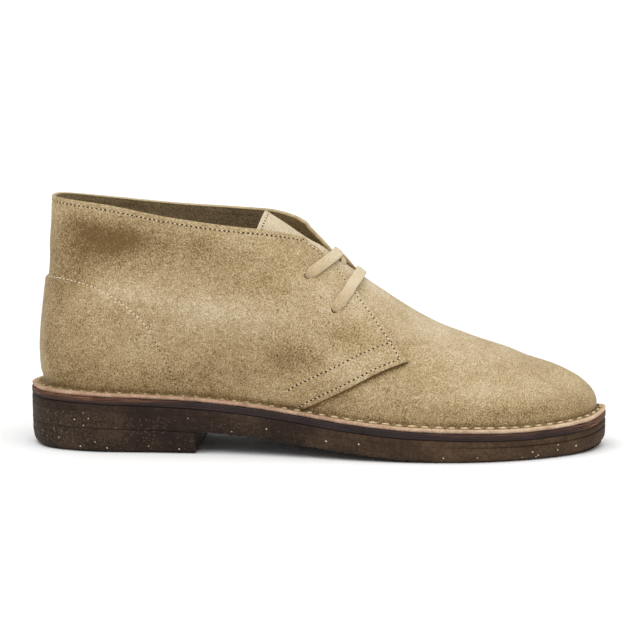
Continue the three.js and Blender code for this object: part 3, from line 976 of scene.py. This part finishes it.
def quarterOffset(point, u, share, inner):  # how far the quarter's face is from the bare wall
    behind = edges[inner]["line"].find(point)[2]
    rise = max(0, panels["overlap"] - vampDrop(u, share)) * (1 - smoothStep(0, panels["settle"], behind))
    rise *= smoothStep(0.0, 0.05, share)
    counter = counterStep(point.x, point.z) if point.x < 95 else -9
    rise += panels["counterRise"] * smoothStep(-1.4, 2.2, counter) * smoothStep(0, 0.1, share)
    rise -= 0.3 * stitchBed(counter)
    rise -= panels["bedDepth"] * stitchBed(behind - panels["seamInside"])
    below = (topAt(u) - point).length
    rise -= panels["bedDepth"] * stitchBed(below - panels["belowCollar"])
    rise -= 0.3 * (1 - smoothStep(0, 1.3, min(behind, below)))  # the edges are rounded over
    side = lap - u if inner else u
    atBack = 1 - smoothStep(0.6, 2.6, side)
    rise -= atBack * panels["backTrim"] * smoothStep(112, 92, point.z)
    rise -= atBack * 0.5 * smoothStep(-1.5, 0, -counter) * smoothStep(112, 92, point.z)
    return rise


def setTone(layer, vert, point, u, share, inner, isVamp):
    vert[layer] = toneAt(point, inner)
    if isVamp:  # painted shade where the quarter's edge shades the vamp's nap, and paler towards the tongue
        vert[layer] += 0.24 * smoothStep(0.75, 0.95, share) * smoothStep(9.6, 8.2, min(u, lap - u))
        _, i, away = edges[inner]["line"].find(point)
        low = smoothStep(0.02, -0.02, edges[inner]["run"][i][2] - edges[inner]["corner"])
        vert[layer] -= mix(0.25, 0.8, low) * math.exp(-away / mix(0.8, 1.3, low))


def placeSkin(bm, table, rows, sectionFor, offsetFor, innerFor, isVamp=False):
    layer = bm.verts.layers.float["tone"]
    for (i, j), vert in table.items():
        kind, value = rows[j]
        u = sectionFor(i, value if kind == "wall" else 0.0)
        inner = innerFor(u)
        if kind == "foot":
            point = footAt(u, value)
            point.z += 0.25 * noise.noise(point / 5) * value - 0.35 * value
            point.z -= 0.25 * max(0, value - 0.86) / 0.14  # the margin is pressed down
            # painted shade on the turned-out foot, darkest in the fold against the wall
            vert[layer] = -0.42 + 0.6 * smoothStep(0.2, 0.9, value) + 0.08 * noise.noise(point / 9)
        else:
            bare = wallAt(u, value)
            lift = offsetFor(bare, u, value, inner) + reliefAt(bare, inner) * smoothStep(0.0, 0.06, value)
            point = bare + wallNormal(clamp(u, 0.011, lap - 0.011), value) * lift
            setTone(layer, vert, bare, u, value, inner, isVamp)
        vert.co = toFrame(point)


def peachRim(table, columns):  # the turned-out foot's margin is rubbed through to the flesh
    for i in range(columns + 1):
        for j in (0, 1, 2):
            for face in table[i, j].link_faces:
                face.material_index = 2


def softenFold(bm, table, columns, fold, reach=4, rounds=5):
    for radius in range(reach, 0, -1):
        ring = [table[i, j] for i in range(1, columns) for j in range(fold - radius, fold + radius + 1)]
        for _ in range(rounds if radius == 2 else 1):
            smoothAll(bm, ring)


footRows = [("foot", part) for part in (1.0, 0.97, 0.88, 0.74, 0.58, 0.42, 0.26, 0.12)]
fold = len(footRows)

eyelets = {
    "radius": 1.75,
    "lower": (8.79, 54, 0.53),  # section where its lace crosses the ridge, the lace's slope, the hole's share
    "upper": (8.29, 34, 0.72),
}


def laceSection(name, share, inner):  # where a share up the wall lies in a lace's plane
    ridge, angle, _ = eyelets[name]
    crossing, slope = topAt(ridge), math.tan(math.radians(angle))
    low, high = ridge - 2, ridge + 0.2
    for _ in range(30):
        half = (low + high) / 2
        point = wallAt(lap - half if inner else half, share)
        low, high = (low, half) if slope * (point.x - crossing.x) > point.z - crossing.z else (half, high)
    return lap - low if inner else low


def punch(bm, centre, axis, radius):  # a round hole through the skin
    def away(place):
        offset = place - centre
        return (offset - axis * offset.dot(axis)).length if offset.length < radius * 3.5 else radius * 9

    for reach in (3, 2):
        near = [e for e in bm.edges if all(away(v.co) < radius * reach for v in e.verts)]
        bmesh.ops.subdivide_edges(bm, edges=near, cuts=1, use_grid_fill=True)
    bmesh.ops.triangulate(bm, faces=[f for f in bm.faces if len(f.verts) > 4])
    gone = [f for f in bm.faces if away(f.calc_center_median()) < radius * 0.97]
    bmesh.ops.delete(bm, geom=gone, context="FACES")
    for vert in bm.verts:
        distance = away(vert.co)
        if vert.is_boundary and distance < radius * 1.4:
            offset = vert.co - centre
            flat = offset - axis * offset.dot(axis)
            vert.co += flat.normalized() * (radius - distance) - axis * 0.35 * mm
    bmesh.ops.triangulate(bm, faces=[f for f in bm.faces if len(f.verts) > 4])


quarterGrid = (212, 42, 74)  # columns, and rows below and above the corner
vampGrid = (172, 52, 30)  # columns a side, and rows below and above the tongue's joint


def makeQuarter(inner):
    edge = edges[inner]
    columns, low, high = quarterGrid
    rows = [*footRows, ("wall", 0.0)]
    rows += [("wall", edge["corner"] * (i / low) ** 1.25) for i in range(1, low + 1)]
    rows += [("wall", mix(edge["corner"], 1, i / high)) for i in range(1, high + 1)]

    def sectionFor(i, share):
        front = tableAt(edge["table"], share)
        if inner:
            return sectionAtLength(mix(lengths[-1], lengthAt(front), i / columns))
        return sectionAtLength(mix(0, lengthAt(front), i / columns))

    bm = bmesh.new()
    bm.verts.layers.float.new("tone")
    table = unitGrid(bm, columns, len(rows) - 1)
    placeSkin(bm, table, rows, sectionFor, quarterOffset, lambda u: inner)
    peachRim(table, columns)
    softenFold(bm, table, columns, fold)
    turnOutwards(bm, table[columns // 2, len(rows) // 2].link_faces[0], Vector((0, 1 if inner else -1, 0)))
    for j in range(fold + 1, len(rows)):
        table[0, j].co.x += 0.3 * mm  # the back seam's edges turn in
    for name in ("lower", "upper"):
        share = eyelets[name][2]
        u = laceSection(name, share, inner)
        bare = wallAt(u, share)
        axis = wallNormal(u, share)
        lift = quarterOffset(bare, u, share, inner) + reliefAt(bare, inner)
        punch(bm, toFrame(bare + axis * lift), axis, eyelets["radius"] * mm)
    bm.normal_update()
    skin = BVHTree.FromBMesh(bm)
    name = "innerQuarter" if inner else "outerQuarter"
    piece = finishPiece(bm, name, [suede, shadedFleshSide, cutEdge], ("upper",))
    addWall(piece, panels["suede"], 1, 2)
    return skin


skins = {False: makeQuarter(False), True: makeQuarter(True)}
print("quarters ready")

tongue = {
    "rows": [  # x, z, half width, drop of the sides
        (166, 96.6, 20, 11.6),
        (154, 104.6, 22, 12.6),
        (140, 114.2, 24, 11.4),
        (125, 124, 25.5, 11.0),
    ],
    "begins": 1 / 6,  # of a row before the second one
    "joint": 0.6,  # share of the wall where its sides leave the vamp
    "section": 8.0,
    "lengthRows": 34,
    "length": 36,
    "ahead": (-0.86, 0, 0.51),  # the way it leaves the vamp
}


def tongueAt(onward, across):
    rows = tongue["rows"]
    place = 1 - tongue["begins"] + onward * (2 + tongue["begins"])
    k = min(len(rows) - 2, int(place))
    picks = [rows[int(clamp(k + j, 0, len(rows) - 1))] for j in (-1, 0, 1, 2)]
    x, z, half, drop = [catmull(*[row[c] for row in picks], place - k) for c in range(4)]
    fall = 1.7 * across**2 - 0.7 * across**4
    return Vector((x - 0.35 * drop * fall, half * across * (1 - 0.06 * across**2), z - drop * fall))


def makeVamp():
    half, low, high = vampGrid
    columns = half * 2
    joint = tongue["joint"]
    rows = [*footRows, ("wall", 0.0)]
    rows += [("wall", joint * (i / low) ** 1.25) for i in range(1, low + 1)]
    rows += [("wall", mix(joint, 1, i / high)) for i in range(1, high + 1)]

    def backEdge(share, inner):
        butt = tableAt(edges[inner]["table"], 0)
        butt = lap - butt if inner else butt
        places = [(0, butt), (0.05, butt - 0.2), (0.3, 6.9), (0.45, 7.5), (joint, tongue["section"])]
        return tableAt(places, share)

    def sectionFor(i, share):
        if i <= half:
            return sectionAtLength(mix(lengthAt(backEdge(share, False)), lengthAt(toe), i / half))
        start = lap - backEdge(share, True)
        return sectionAtLength(mix(lengthAt(start), lengthAt(toe), (columns - i) / half))

    def offsetFor(point, u, share, inner):
        drop = vampDrop(u, share)
        front = tableAt(edges[inner]["table"], share)
        under = (lap - u < lap - front) if inner else (u < front)
        if under:
            behind = edges[inner]["line"].find(point)[2]
            drop = mix(drop, panels["overlap"] + 0.25, smoothStep(0, panels["settle"], behind))
            drop += 0.4 * smoothStep(0, 4, behind)
        return -drop

    bm = bmesh.new()
    bm.verts.layers.float.new("tone")
    table = unitGrid(bm, columns, len(rows) - 1)
    placeSkin(bm, table, rows, sectionFor, offsetFor, lambda u: u > toe, True)
    peachRim(table, columns)
    softenFold(bm, table, columns, fold)
    turnOutwards(bm, table[half // 2, len(rows) // 2].link_faces[0], Vector((0, -1, 0)))
    top = len(rows) - 1
    pairs = {table[columns - i, top]: table[i, top] for i in range(half)}
    for far, near in pairs.items():
        near.co = (near.co + far.co) / 2
    bmesh.ops.weld_verts(bm, targetmap=pairs)

    first = fold + low  # the tongue goes on from the vamp's back edges above this row
    border = [table[0, j] for j in range(first, top + 1)]
    border += [table[columns, j] for j in range(top - 1, first - 1, -1)]
    across = [k / (len(border) - 1) * 2 - 1 for k in range(len(border))]
    layer = bm.verts.layers.float["tone"]
    ahead = Vector(tongue["ahead"])
    start = [v.co.copy() for v in border]
    edgesNow = [e for a, b in zip(border, border[1:]) for e in a.link_edges if e.other_vert(a) == b]
    order = border
    for step in range(1, tongue["lengthRows"] + 1):
        share = step / tongue["lengthRows"]
        grown = bmesh.ops.extrude_edge_only(bm, edges=edgesNow)["geom"]
        fresh = [g for g in grown if isinstance(g, bmesh.types.BMVert)]
        edgesNow = [g for g in grown if isinstance(g, bmesh.types.BMEdge)]
        edgesNow = [e for e in edgesNow if all(v in fresh for v in e.verts)]
        nextOrder = []
        for old in order:
            nextOrder.append(next(e.other_vert(old) for e in old.link_edges if e.other_vert(old) in fresh))
        for k, vert in enumerate(nextOrder):
            bent = start[k] + ahead * tongue["length"] * share * mm
            shaped = tongueAt(share, across[k])
            shaped.z += 0.35 * noise.noise(shaped / 12) - 0.3 * smoothStep(0.97, 1, share)
            vert.co = bent.lerp(toFrame(shaped), smoothStep(0, 0.4, share))
            vert[layer] = 0.34 + 0.1 * noise.noise(shaped / 14)
        order = nextOrder
    smoothAll(bm, border[1:-1])
    bm.normal_update()
    skin = BVHTree.FromBMesh(bm)
    piece = finishPiece(bm, "vampAndTongue", [suede, shadedFleshSide, cutEdge], ("tongue",))
    addWall(piece, panels["suede"], 1, 2)
    return skin


vampSkin = makeVamp()
print("vamp and tongue ready")

# sole layers, each a closed loft round the sole's edge with its faces carried in to a middle line
soleShape = {
    "columns": 620,
    "heelColumns": 250,
    "insoleColumns": 300,
    "roundedFrom": 96,  # the outsole's lower edge is rounded in front of the heel block
    "rounding": 2.2,
    "grooveFrom": 205,  # a moulded line under the midsole, deepest round the toe
    "groove": 0.9,
    "crinkle": 0.28,
    "pebble": 0.35,
    "middleEnds": ((14, 0), (290, 4.4)),
    "cutBevel": 0.7,  # along the breast of the heel, below cutHeight
    "cutHeight": 9.5,
}


def middleAt(u):
    side = lap - u if u > toe else abs(u)
    middle = (soleEdge(side)[0] + soleEdge(lap - side)[0]) / 2
    (backX, backY), (tipX, tipY) = soleShape["middleEnds"]
    if middle.x < backX:
        return Vector((backX, backY, 0))
    if middle.x > tipX:
        return Vector((tipX, tipY, 0))
    return middle


def loftSole(name, rows, columns, span, material, nodeName, rough=0.0, values=None):
    bm = bmesh.new()
    layers = {key: bm.verts.layers.float.new(key) for key in (values or {})}
    table = unitGrid(bm, columns, len(rows) - 1)
    for (i, j), vert in table.items():
        u = mix(span[0], span[1], i / columns)
        row = rows[j]
        inset = row["inset"]
        edge, out = soleEdge(u % lap, 0)
        if callable(inset):
            inset = inset(edge.x, u % lap)
        point = (edge - out * inset).lerp(middleAt(u), row.get("across", 0))
        point.z = row["z"](point.x)
        if rough:
            grain = noise.noise(point / 3.1) * 0.6 + noise.noise(point / 1.4) * 0.4
            if row.get("across", 0) > 0:
                point.z += (grain + 0.6) * row.get("pebble", 0)
            else:
                waist = 1 + 1.6 * smoothStep(96, 112, point.x) * (1 - smoothStep(200, 235, point.x))
                point += out * grain * rough * row.get("rough", 1)
                point.z += (grain * waist + 0.15) * row.get("lift", 0)
        for key, layer in layers.items():
            vert[layer] = values[key](point, row)
        vert.co = toFrame(point)
    sideRow = next(j for j, row in enumerate(rows) if row.get("side"))
    outwards = Vector((0, -1 if span[0] >= 0 else 1, 0))
    turnOutwards(bm, table[columns // 4, sideRow].link_faces[0], outwards)
    bmesh.ops.remove_doubles(bm, verts=bm.verts[:], dist=0.002 * mm)
    bmesh.ops.recalc_face_normals(bm, faces=bm.faces[:])
    rim = [e for e in bm.edges if e.is_boundary]
    if rim:  # the heel block is cut off square at its breast
        cut = bmesh.ops.holes_fill(bm, edges=rim, sides=0)["faces"]
        bmesh.ops.recalc_face_normals(bm, faces=bm.faces[:])
        height = soleShape["cutHeight"] * mm
        lowEdges = [e for f in cut for e in f.edges if max(v.co.z for v in e.verts) < height]
        bmesh.ops.bevel(
            bm,
            geom=lowEdges,
            affect="EDGES",
            offset=soleShape["cutBevel"] * mm,
            segments=2,
            profile=0.5,
            material=-1,
        )
        for face in bm.faces:
            face.smooth = len(face.verts) <= 4
        bmesh.ops.triangulate(bm, faces=[f for f in bm.faces if len(f.verts) > 4])
        bmesh.ops.dissolve_degenerate(bm, dist=0.002 * mm, edges=bm.edges[:])
    finishPiece(bm, name, [material], (nodeName,), None if rim else True)


def underAt(x):
    return profileAt("under", x)


def crepeTop(x):
    return profileAt("seat", x) - last["midsole"] - last["gap"]


def makeOutsole():
    front = soleShape["roundedFrom"]

    def rounded(least, share):
        def inset(x, u):
            amount = smoothStep(front - 7, front + 3, x) + 0.3 * smoothStep(285, 303, x)
            return least + share * soleShape["rounding"] * amount

        return inset

    def grooved(depth):
        def inset(x, u):
            deepening = smoothStep(soleShape["grooveFrom"], 270, x)
            return 0.1 + depth * soleShape["groove"] * mix(0.25, 1, deepening)

        return inset

    def at(share):
        return lambda x: mix(underAt(x), crepeTop(x), share)

    rows = [
        {"inset": 0.3, "across": across, "z": at(0), "pebble": soleShape["pebble"]}
        for across in (1, 0.9, 0.78, 0.66, 0.54, 0.42, 0.31, 0.21, 0.12)
    ]
    rows += [{"inset": rounded(0.36, 1.7), "across": 0.02, "z": at(0), "pebble": 0.3}]
    rows += [
        {"inset": rounded(inset, push), "z": at(share), "rough": rough, "lift": lift, "side": True}
        for inset, push, share, rough, lift in (
            (0.3, 1.05, 0.03, 1.6, 0.5),
            (0.3, 0.6, 0.09, 1.7, 0.5),
            (0.3, 0.3, 0.16, 1.5, 0.3),
            (0.28, 0.12, 0.24, 1.2, 0.1),
            (0.26, 0, 0.32, 1, 0),
            (0.24, 0, 0.4, 1, 0),
            (0.22, 0, 0.48, 0.9, 0),
            (0.2, 0, 0.55, 0.7, 0),
            (0.16, 0, 0.61, 0.4, 0),
        )
    ]
    rows += [
        {"inset": grooved(depth), "z": at(share), "rough": 0.1, "smooth": 1, "side": True}
        for depth, share in (
            (0, 0.66), (0.2, 0.685), (1, 0.7), (1, 0.72), (0.2, 0.74),
            (0, 0.77), (0, 0.84), (0, 0.9), (0.3, 0.95),
        )
    ]
    rows += [{"inset": inset, "z": at(z), "rough": 0, "smooth": 1} for inset, z in ((0.45, 0.99), (0.9, 1))]
    rows += [{"inset": 4, "across": across, "z": at(1)} for across in (0, 0.5, 1)]
    values = {"clean": lambda point, row: row.get("smooth", 0)}
    grain = soleShape["crinkle"]
    loftSole("crepeOutsole", rows, soleShape["columns"], (0, lap), crepe, "outsole", grain, values)


def makeHeelBlock():
    end = 0.0
    while soleEdge(end)[0].x < last["breast"]:
        end += 0.005

    def level(z):
        return lambda x: z

    def roof(down):
        return lambda x: underAt(x) - down

    rows = [
        {"inset": 4.4, "across": across, "z": level(0.12), "pebble": 0.15}
        for across in (1, 0.85, 0.7, 0.55, 0.4, 0.27, 0.16, 0.07)
    ]
    rows += [
        {"inset": inset, "z": z, "rough": rough, "side": True}
        for inset, z, rough in (
            (4.4, level(0.1), 0.8),
            (3.5, level(0.4), 1),
            (2.7, level(0.95), 1),
            (2.0, level(1.7), 1),
            (1.4, level(2.8), 1),
            (0.95, level(4.2), 1),
            (0.7, level(5.8), 1),
            (0.5, level(7.4), 1),
            (0.4, level(8.8), 1),
            (0.34, roof(2.2), 1),
            (0.31, roof(1.1), 1),
            (0.3, roof(-0.15), 1),
        )
    ]
    rows += [{"inset": 4, "across": across, "z": roof(-0.15)} for across in (0, 0.5, 1)]
    values = {"clean": lambda point, row: 0.0}
    grain = soleShape["crinkle"]
    loftSole("heelBlock", rows, soleShape["heelColumns"], (-end, end), crepe, "heel", grain, values)


def makeMidsole():
    def at(share):
        return lambda x: profileAt("seat", x) - last["midsole"] * (1 - share) - 0.28 * (share < 0.001)

    rows = [{"inset": 6, "across": t, "z": at(0)} for t in (1, 0.5, 0)]
    rows += [
        {"inset": inset, "z": at(share), "rough": 1, "side": True}
        for inset, share in (
            (0.8, 0), (0.35, 0.03), (0.16, 0.1), (0.1, 0.2), (0.12, 0.28), (0.3, 0.31),
            (0.3, 0.34), (0.1, 0.37), (0.05, 0.47), (0.08, 0.57), (0.26, 0.6), (0.26, 0.63),
            (0.06, 0.66), (0.05, 0.76), (0.08, 0.86), (0.2, 0.93), (0.5, 0.985), (1, 1),
        )
    ]
    rows += [{"inset": 6, "across": t, "z": at(1)} for t in (0, 0.5, 1)]

    def tint(point, row):
        heel = 0.9 * (1 - smoothStep(42, 96, point.x))
        middle = 0.3 * smoothStep(200, 235, point.x)
        return 0.03 + heel + middle + 0.67 * smoothStep(280, 300, point.x)

    def layer(point, row):  # the upper plies are the red ones, except round the toe
        high = (point.z - profileAt("seat", point.x)) / last["midsole"] + 1
        return mix(smoothStep(0.1, 0.75, high), 1, smoothStep(280, 298, point.x))

    values = {"tint": tint, "layer": layer}
    columns = soleShape["columns"]
    loftSole("midsoleBoard", rows, columns, (0, lap), midsoleEdge, "midsole", 0.07, values)


def makeInsole():
    def inset(more):
        return lambda x, u: along("ledge", u) + last["suede"] + 0.7 + more

    def at(rise):
        return lambda x: profileAt("seat", x) + last["gap"] + rise

    high = last["insole"]
    rows = [{"inset": inset(1.4), "across": t, "z": at(0)} for t in (1, 0)]
    rows += [
        {"inset": inset(more), "z": at(rise), "side": True}
        for more, rise in ((1.4, 0), (0.2, 1.0), (0, 1.6), (0, high - 0.5), (0.25, high - 0.12), (0.8, high))
    ]
    rows += [{"inset": inset(1.4), "across": t, "z": at(high - 0.5 * t)} for t in (0.15, 0.4, 0.7, 1)]
    loftSole("insoleLeather", rows, soleShape["insoleColumns"], (0, lap), insoleLeather, "insole")


makeOutsole()
makeHeelBlock()
makeMidsole()
makeInsole()
print("sole ready")

# flat woven laces: a bar across the lower eyelets, and the ends that come up through the top pair
laces = {
    "width": 6.0,
    "thickness": 1.5,
    "clear": 0.12,
    "steps": 12,
    "corners": 20,
    "endShare": 0.62,  # of its width where it's gathered into a hole
    "probe": 9,  # how far over the bare wall the search for the leather starts
}


def restingHeight(bare, normal, under=False):  # how far over the bare wall the leather's face is
    start = toFrame(bare + normal * laces["probe"])
    heights = [-4.0]
    for skin in [vampSkin] if under else [vampSkin, *skins.values()]:
        hit = skin.ray_cast(start, -normal, 16 * mm)[0]
        if hit:
            heights.append(laces["probe"] - (hit - start).length / mm)
    return max(heights)


# each stop is a section, a share, a lift over the leather, and True under the quarter or "hole" in an eyelet
def laceStops(stops):
    places = []
    for u, share, lift, under in stops:
        bare, normal = wallAt(u, share), wallNormal(u, share)
        if 7.9 < u < lap - 7.9 and share > 0.995:  # level across the ridge
            normal = Vector((normal.x, 0, normal.z)).normalized()
        if under == "hole":  # the face of the leather is cut away here
            face = quarterOffset(bare, u, share, u > toe) + reliefAt(bare, u > toe)
        else:
            face = restingHeight(bare, normal, under)
        height = face + lift + laces["thickness"] / 2 + laces["clear"]
        places.append([bare, normal, height])
    return places


def bulge(value, power):
    return math.copysign(abs(value) ** power, value)


def makeLace(name, stops, nodes, pulls=0):
    places = laceStops(stops)
    heights = [p[2] for p in places]
    for _ in range(pulls):  # pulled tight, it bridges the hollows
        for k in range(2, len(heights) - 2):
            heights[k] = max(heights[k], (heights[k - 1] + heights[k + 1]) / 2)
    middle = curveThrough([p[0] + p[1] * h for p, h in zip(places, heights)], laces["steps"])
    normals = [n.normalized() for n in curveThrough([p[1] for p in places], laces["steps"])]
    count, corners = len(middle) - 1, laces["corners"]
    bm = bmesh.new()
    uv = bm.loops.layers.uv.new("weave")
    table = unitGrid(bm, count, corners)
    where, travelled = {}, 0.0
    for i in range(count + 1):
        ahead = (middle[min(count, i + 1)] - middle[max(0, i - 1)]).normalized()
        side = normals[i].cross(ahead).normalized()
        up = ahead.cross(side).normalized()
        travelled += (middle[i] - middle[max(0, i - 1)]).length
        fromEnd = min(i, count - i) / laces["steps"]
        narrow = mix(laces["endShare"], 1, smoothStep(0.6, 2.6, fromEnd))
        for j in range(corners + 1):
            angle = 2 * math.pi * (j % corners) / corners
            across = bulge(math.cos(angle), 0.55) * laces["width"] / 2 * narrow
            high = bulge(math.sin(angle), 0.8) * laces["thickness"] / 2
            high *= 1 - 0.12 * math.cos(angle * 2)
            vert = table[i, j]
            vert.co = toFrame(middle[i] + side * across + up * high)
            where[vert] = (travelled, across)
    for face in bm.faces:
        for loop in face.loops:
            loop[uv].uv = where[loop.vert]
    turnOutwards(bm, table[count // 2, corners // 4].link_faces[0], normals[count // 2])
    bmesh.ops.remove_doubles(bm, verts=bm.verts[:], dist=0.002 * mm)
    bmesh.ops.holes_fill(bm, edges=[e for e in bm.edges if e.is_boundary], sides=0)
    bmesh.ops.recalc_face_normals(bm, faces=bm.faces[:])
    finishPiece(bm, name, [laceCotton], nodes)


def barStops(name, inner, shares, lifts):
    return [(laceSection(name, share, inner), share, lift, False) for share, lift in zip(shares, lifts)]


def eyeletStops(name, inner):  # the first stops out of a hole, from inside the boot
    share = eyelets[name][2]
    return [
        (laceSection(name, share + more, inner), share + more, lift, "hole")
        for more, lift in ((-0.002, -5.0), (0.0, -2.4), (0.016, -0.25), (0.042, 0.15))
    ]


climb = (0.61, 0.67, 0.73, 0.79, 0.85, 0.9, 0.95)
climbLifts = (0.15, 0.1, 0.15, 0.3, 0.6, 0.9, 1.3)
lower = eyeletStops("lower", False) + barStops("lower", False, climb, climbLifts)
lower += barStops("lower", False, (1.0,), (1.5,))
lower += barStops("lower", True, climb[::-1], climbLifts[::-1]) + eyeletStops("lower", True)[::-1]
makeLace("laceLower", lower, ("lace_lower",), 3)

high = (0.79, 0.825, 0.865, 0.905, 0.945, 0.98)
upper = eyeletStops("upper", False) + barStops("upper", False, high, (0.2, 0.4, 0.8, 1.4, 2.0, 2.4))
upper += [
    (lap - u, share, lift, False)
    for u, share, lift in (
        (8.29, 1.0, 2.5), (8.33, 0.965, 1.8), (8.34, 0.925, 1.0),
        (8.34, 0.885, 0.5), (8.33, 0.84, 0.3), (8.3, 0.795, 0.2),
    )
]
upper += eyeletStops("upper", True)[::-1]
makeLace("laceUpper", upper, ("lace_upper",))

# the tucked end: up under the top bar, over the ridge and down beneath the front edge
tail = [
    (u, share, lift, True)
    for u, share, lift in (
        (lap - 8.34, 0.84, 0),
        (lap - 8.34, 0.89, 0),
        (lap - 8.33, 0.94, 0.1),
        (lap - 8.32, 0.98, 0.5),
        (8.34, 1.0, 1.0),
        (8.37, 0.985, 0.8),
        (8.4, 0.965, 0.1),
        (8.41, 0.945, -1.2),
    )
]
makeLace("laceTail", tail, ())
print("laces ready")

# sewing: a light thread between two needle holes for every stitch, each hole a dark bead of painted shade
sewing = {
    "pitch": 2.45,
    "secondRow": 12.6,  # from the lower leg
    "thread": (1.75, 0.72, 0.6),  # length, width and height of a stitch
    # size of the dark bead painted as a needle hole's shade
    "hole": (1.1, 0.95, 0.3),
    "slack": 0.18,  # how far the stitches turn out of line
    "proud": 0.1,
    "solePitch": 6.7,
    "soleThread": (4.0, 1.3, 1.2),
    "soleHole": (1.5, 0.9, 0.5),
    "holesBelow": 62,  # the counter's row shows only its needle holes, dark beads of painted shade, from here down
}


def resample(path, pitch):
    places, carried = [], 0.0
    for a, b in zip(path, path[1:]):
        span = (b - a).length
        while carried <= span and span > 0:
            places.append((a.lerp(b, carried / span), (b - a).normalized()))
            carried += pitch
        carried -= span
    return places


def nearestSkin(point, among):
    found = [skin.find_nearest(toFrame(point)) for skin in among]
    return min((f for f in found if f[0]), key=lambda f: f[3])


def addBead(bm, place, heading, normal, size, material):  # a flattened ball laid on the leather
    side = normal.cross(heading).normalized()
    ahead = side.cross(normal).normalized()
    turn = Matrix((ahead, side, normal)).transposed().to_4x4()
    shape = Matrix.Diagonal((*[s / 2 * mm for s in size], 1))
    laid = Matrix.Translation(place) @ turn @ shape @ Matrix.Rotation(math.pi / 2, 4, "Y")
    made = bmesh.ops.create_uvsphere(bm, u_segments=8, v_segments=5, radius=1, matrix=laid)
    for face in {f for v in made["verts"] for f in v.link_faces}:
        face.material_index = material


def sew(name, path, among, thread=1.0, hole=1.0, proud=sewing["proud"]):
    draw = random.Random(name)
    bm = bmesh.new()
    slack, pitch = sewing["slack"], sewing["pitch"]
    for point, ahead in resample(path, pitch):
        place, normal, _, _ = nearestSkin(point, among)
        turn = ahead + Vector([draw.uniform(-slack, slack) for _ in range(3)]) * 0.6
        scale = draw.uniform(0.85, 1.12)
        size = [s * thread * scale for s in sewing["thread"]]
        addBead(bm, place + normal * proud * mm, turn, normal, size, 0)
        # painted shade: a dark bead beside the thread stands for the needle hole
        size = [s * hole * scale for s in sewing["hole"]]
        aside, normal, _, _ = nearestSkin(point + ahead * pitch / 2, among)
        addBead(bm, aside + normal * 0.02 * mm, turn, normal, size, 1)
    finishPiece(bm, name, [paleThread, needleHoleShade], None)


def clearOf(inner, path, away):  # the places that are further than this from the quarter's front edge
    return [p for p in path if edges[inner]["line"].find(p)[2] > away]


def collarPath(inner):
    path = []
    front = tableAt(edges[inner]["table"], 0.99)
    for i in range(161):
        u = mix(0.05, lap - front if inner else front, i / 160)
        u = lap - u if inner else u
        top = topAt(u)
        low, high = 0.8, 1.0
        for _ in range(14):
            half = (low + high) / 2
            lower = (wallAt(u, half) - top).length > panels["belowCollar"]
            low, high = (half, high) if lower else (low, half)
        path.append(wallAt(u, low))
    return clearOf(inner, path, panels["seamInside"])


def besideEdge(inner, away, lowerLeg):
    corner = edges[inner]["corner"]
    run = [r for r in edges[inner]["run"] if (r[2] <= corner if lowerLeg else r[2] >= corner)]
    heart = wallAt(lap - 5 if inner else 5, 0.5)
    path = []
    for k in range(1, len(run) - 1):
        point, u, share = run[k]
        inward = wallNormal(u, share).cross(run[k + 1][0] - run[k - 1][0]).normalized()
        if inward.dot(heart - point) < 0:
            inward = -inward
        moved = point + inward * away
        if moved.z > profileAt("seat", moved.x) + 1.8 and (moved - topAt(u)).length > 2:
            path.append(moved)
    return path


for inner, side in ((False, "Outer"), (True, "Inner")):
    skin = [skins[inner]]
    sew("collarStitches" + side, collarPath(inner), skin, 0.62, 1.05)
    inside = panels["seamInside"]
    front = clearOf(inner, besideEdge(inner, inside, False), inside * 0.94)
    sew("frontStitches" + side, front, skin, 1.0, 1.0, 0.14)
    low = clearOf(inner, besideEdge(inner, inside, True), inside * 0.94)
    sew("lowerStitches" + side, low, skin, 0.66, 1.05)
    second = clearOf(inner, besideEdge(inner, sewing["secondRow"], True), inside)
    sew("secondStitches" + side, second, skin, 0.66, 1.05)
    row = [wallAt(*placeOnSide(place.x, place.y, inner)) for place in counterCurve]
    upright = next(k for k, place in enumerate(row) if place.z < sewing["holesBelow"])
    sew("counterStitches" + side, row[6:upright], skin, 0.95, 0.55)
    sew("counterHoles" + side, row[upright:-2], skin, 0.4, 0.85)

tip = [tongueAt(1 - 3.4 / tongue["length"], a / 40) for a in range(-37, 38)]
sew("tongueStitches", tip, [vampSkin], 0.8, 1.0)

everySkin = [vampSkin, *skins.values()]
footPath = [footAt(lap * i / 1400, 0.4) for i in range(1401)]
bm = bmesh.new()
draw = random.Random(5)
for point, ahead in resample(footPath, sewing["solePitch"]):
    place, normal, _, _ = nearestSkin(point, everySkin)
    scale = draw.uniform(0.9, 1.08) * mix(0.5, 1, smoothStep(105, 170, point.x))
    upwards = (normal + Vector((0, 0, 1))).normalized()
    size = [s * scale for s in sewing["soleThread"]]
    addBead(bm, place + upwards * 0.45 * mm * scale, ahead, upwards, size, 0)
    # painted shade: a dark bead beside the thread stands for the needle hole
    beside, normal, _, _ = nearestSkin(point + ahead * sewing["solePitch"] / 2, everySkin)
    addBead(bm, beside, ahead, upwards, [s * scale for s in sewing["soleHole"]], 1)
finishPiece(bm, "soleStitches", [soleThread, needleHoleShade], None)
print("sewing ready")
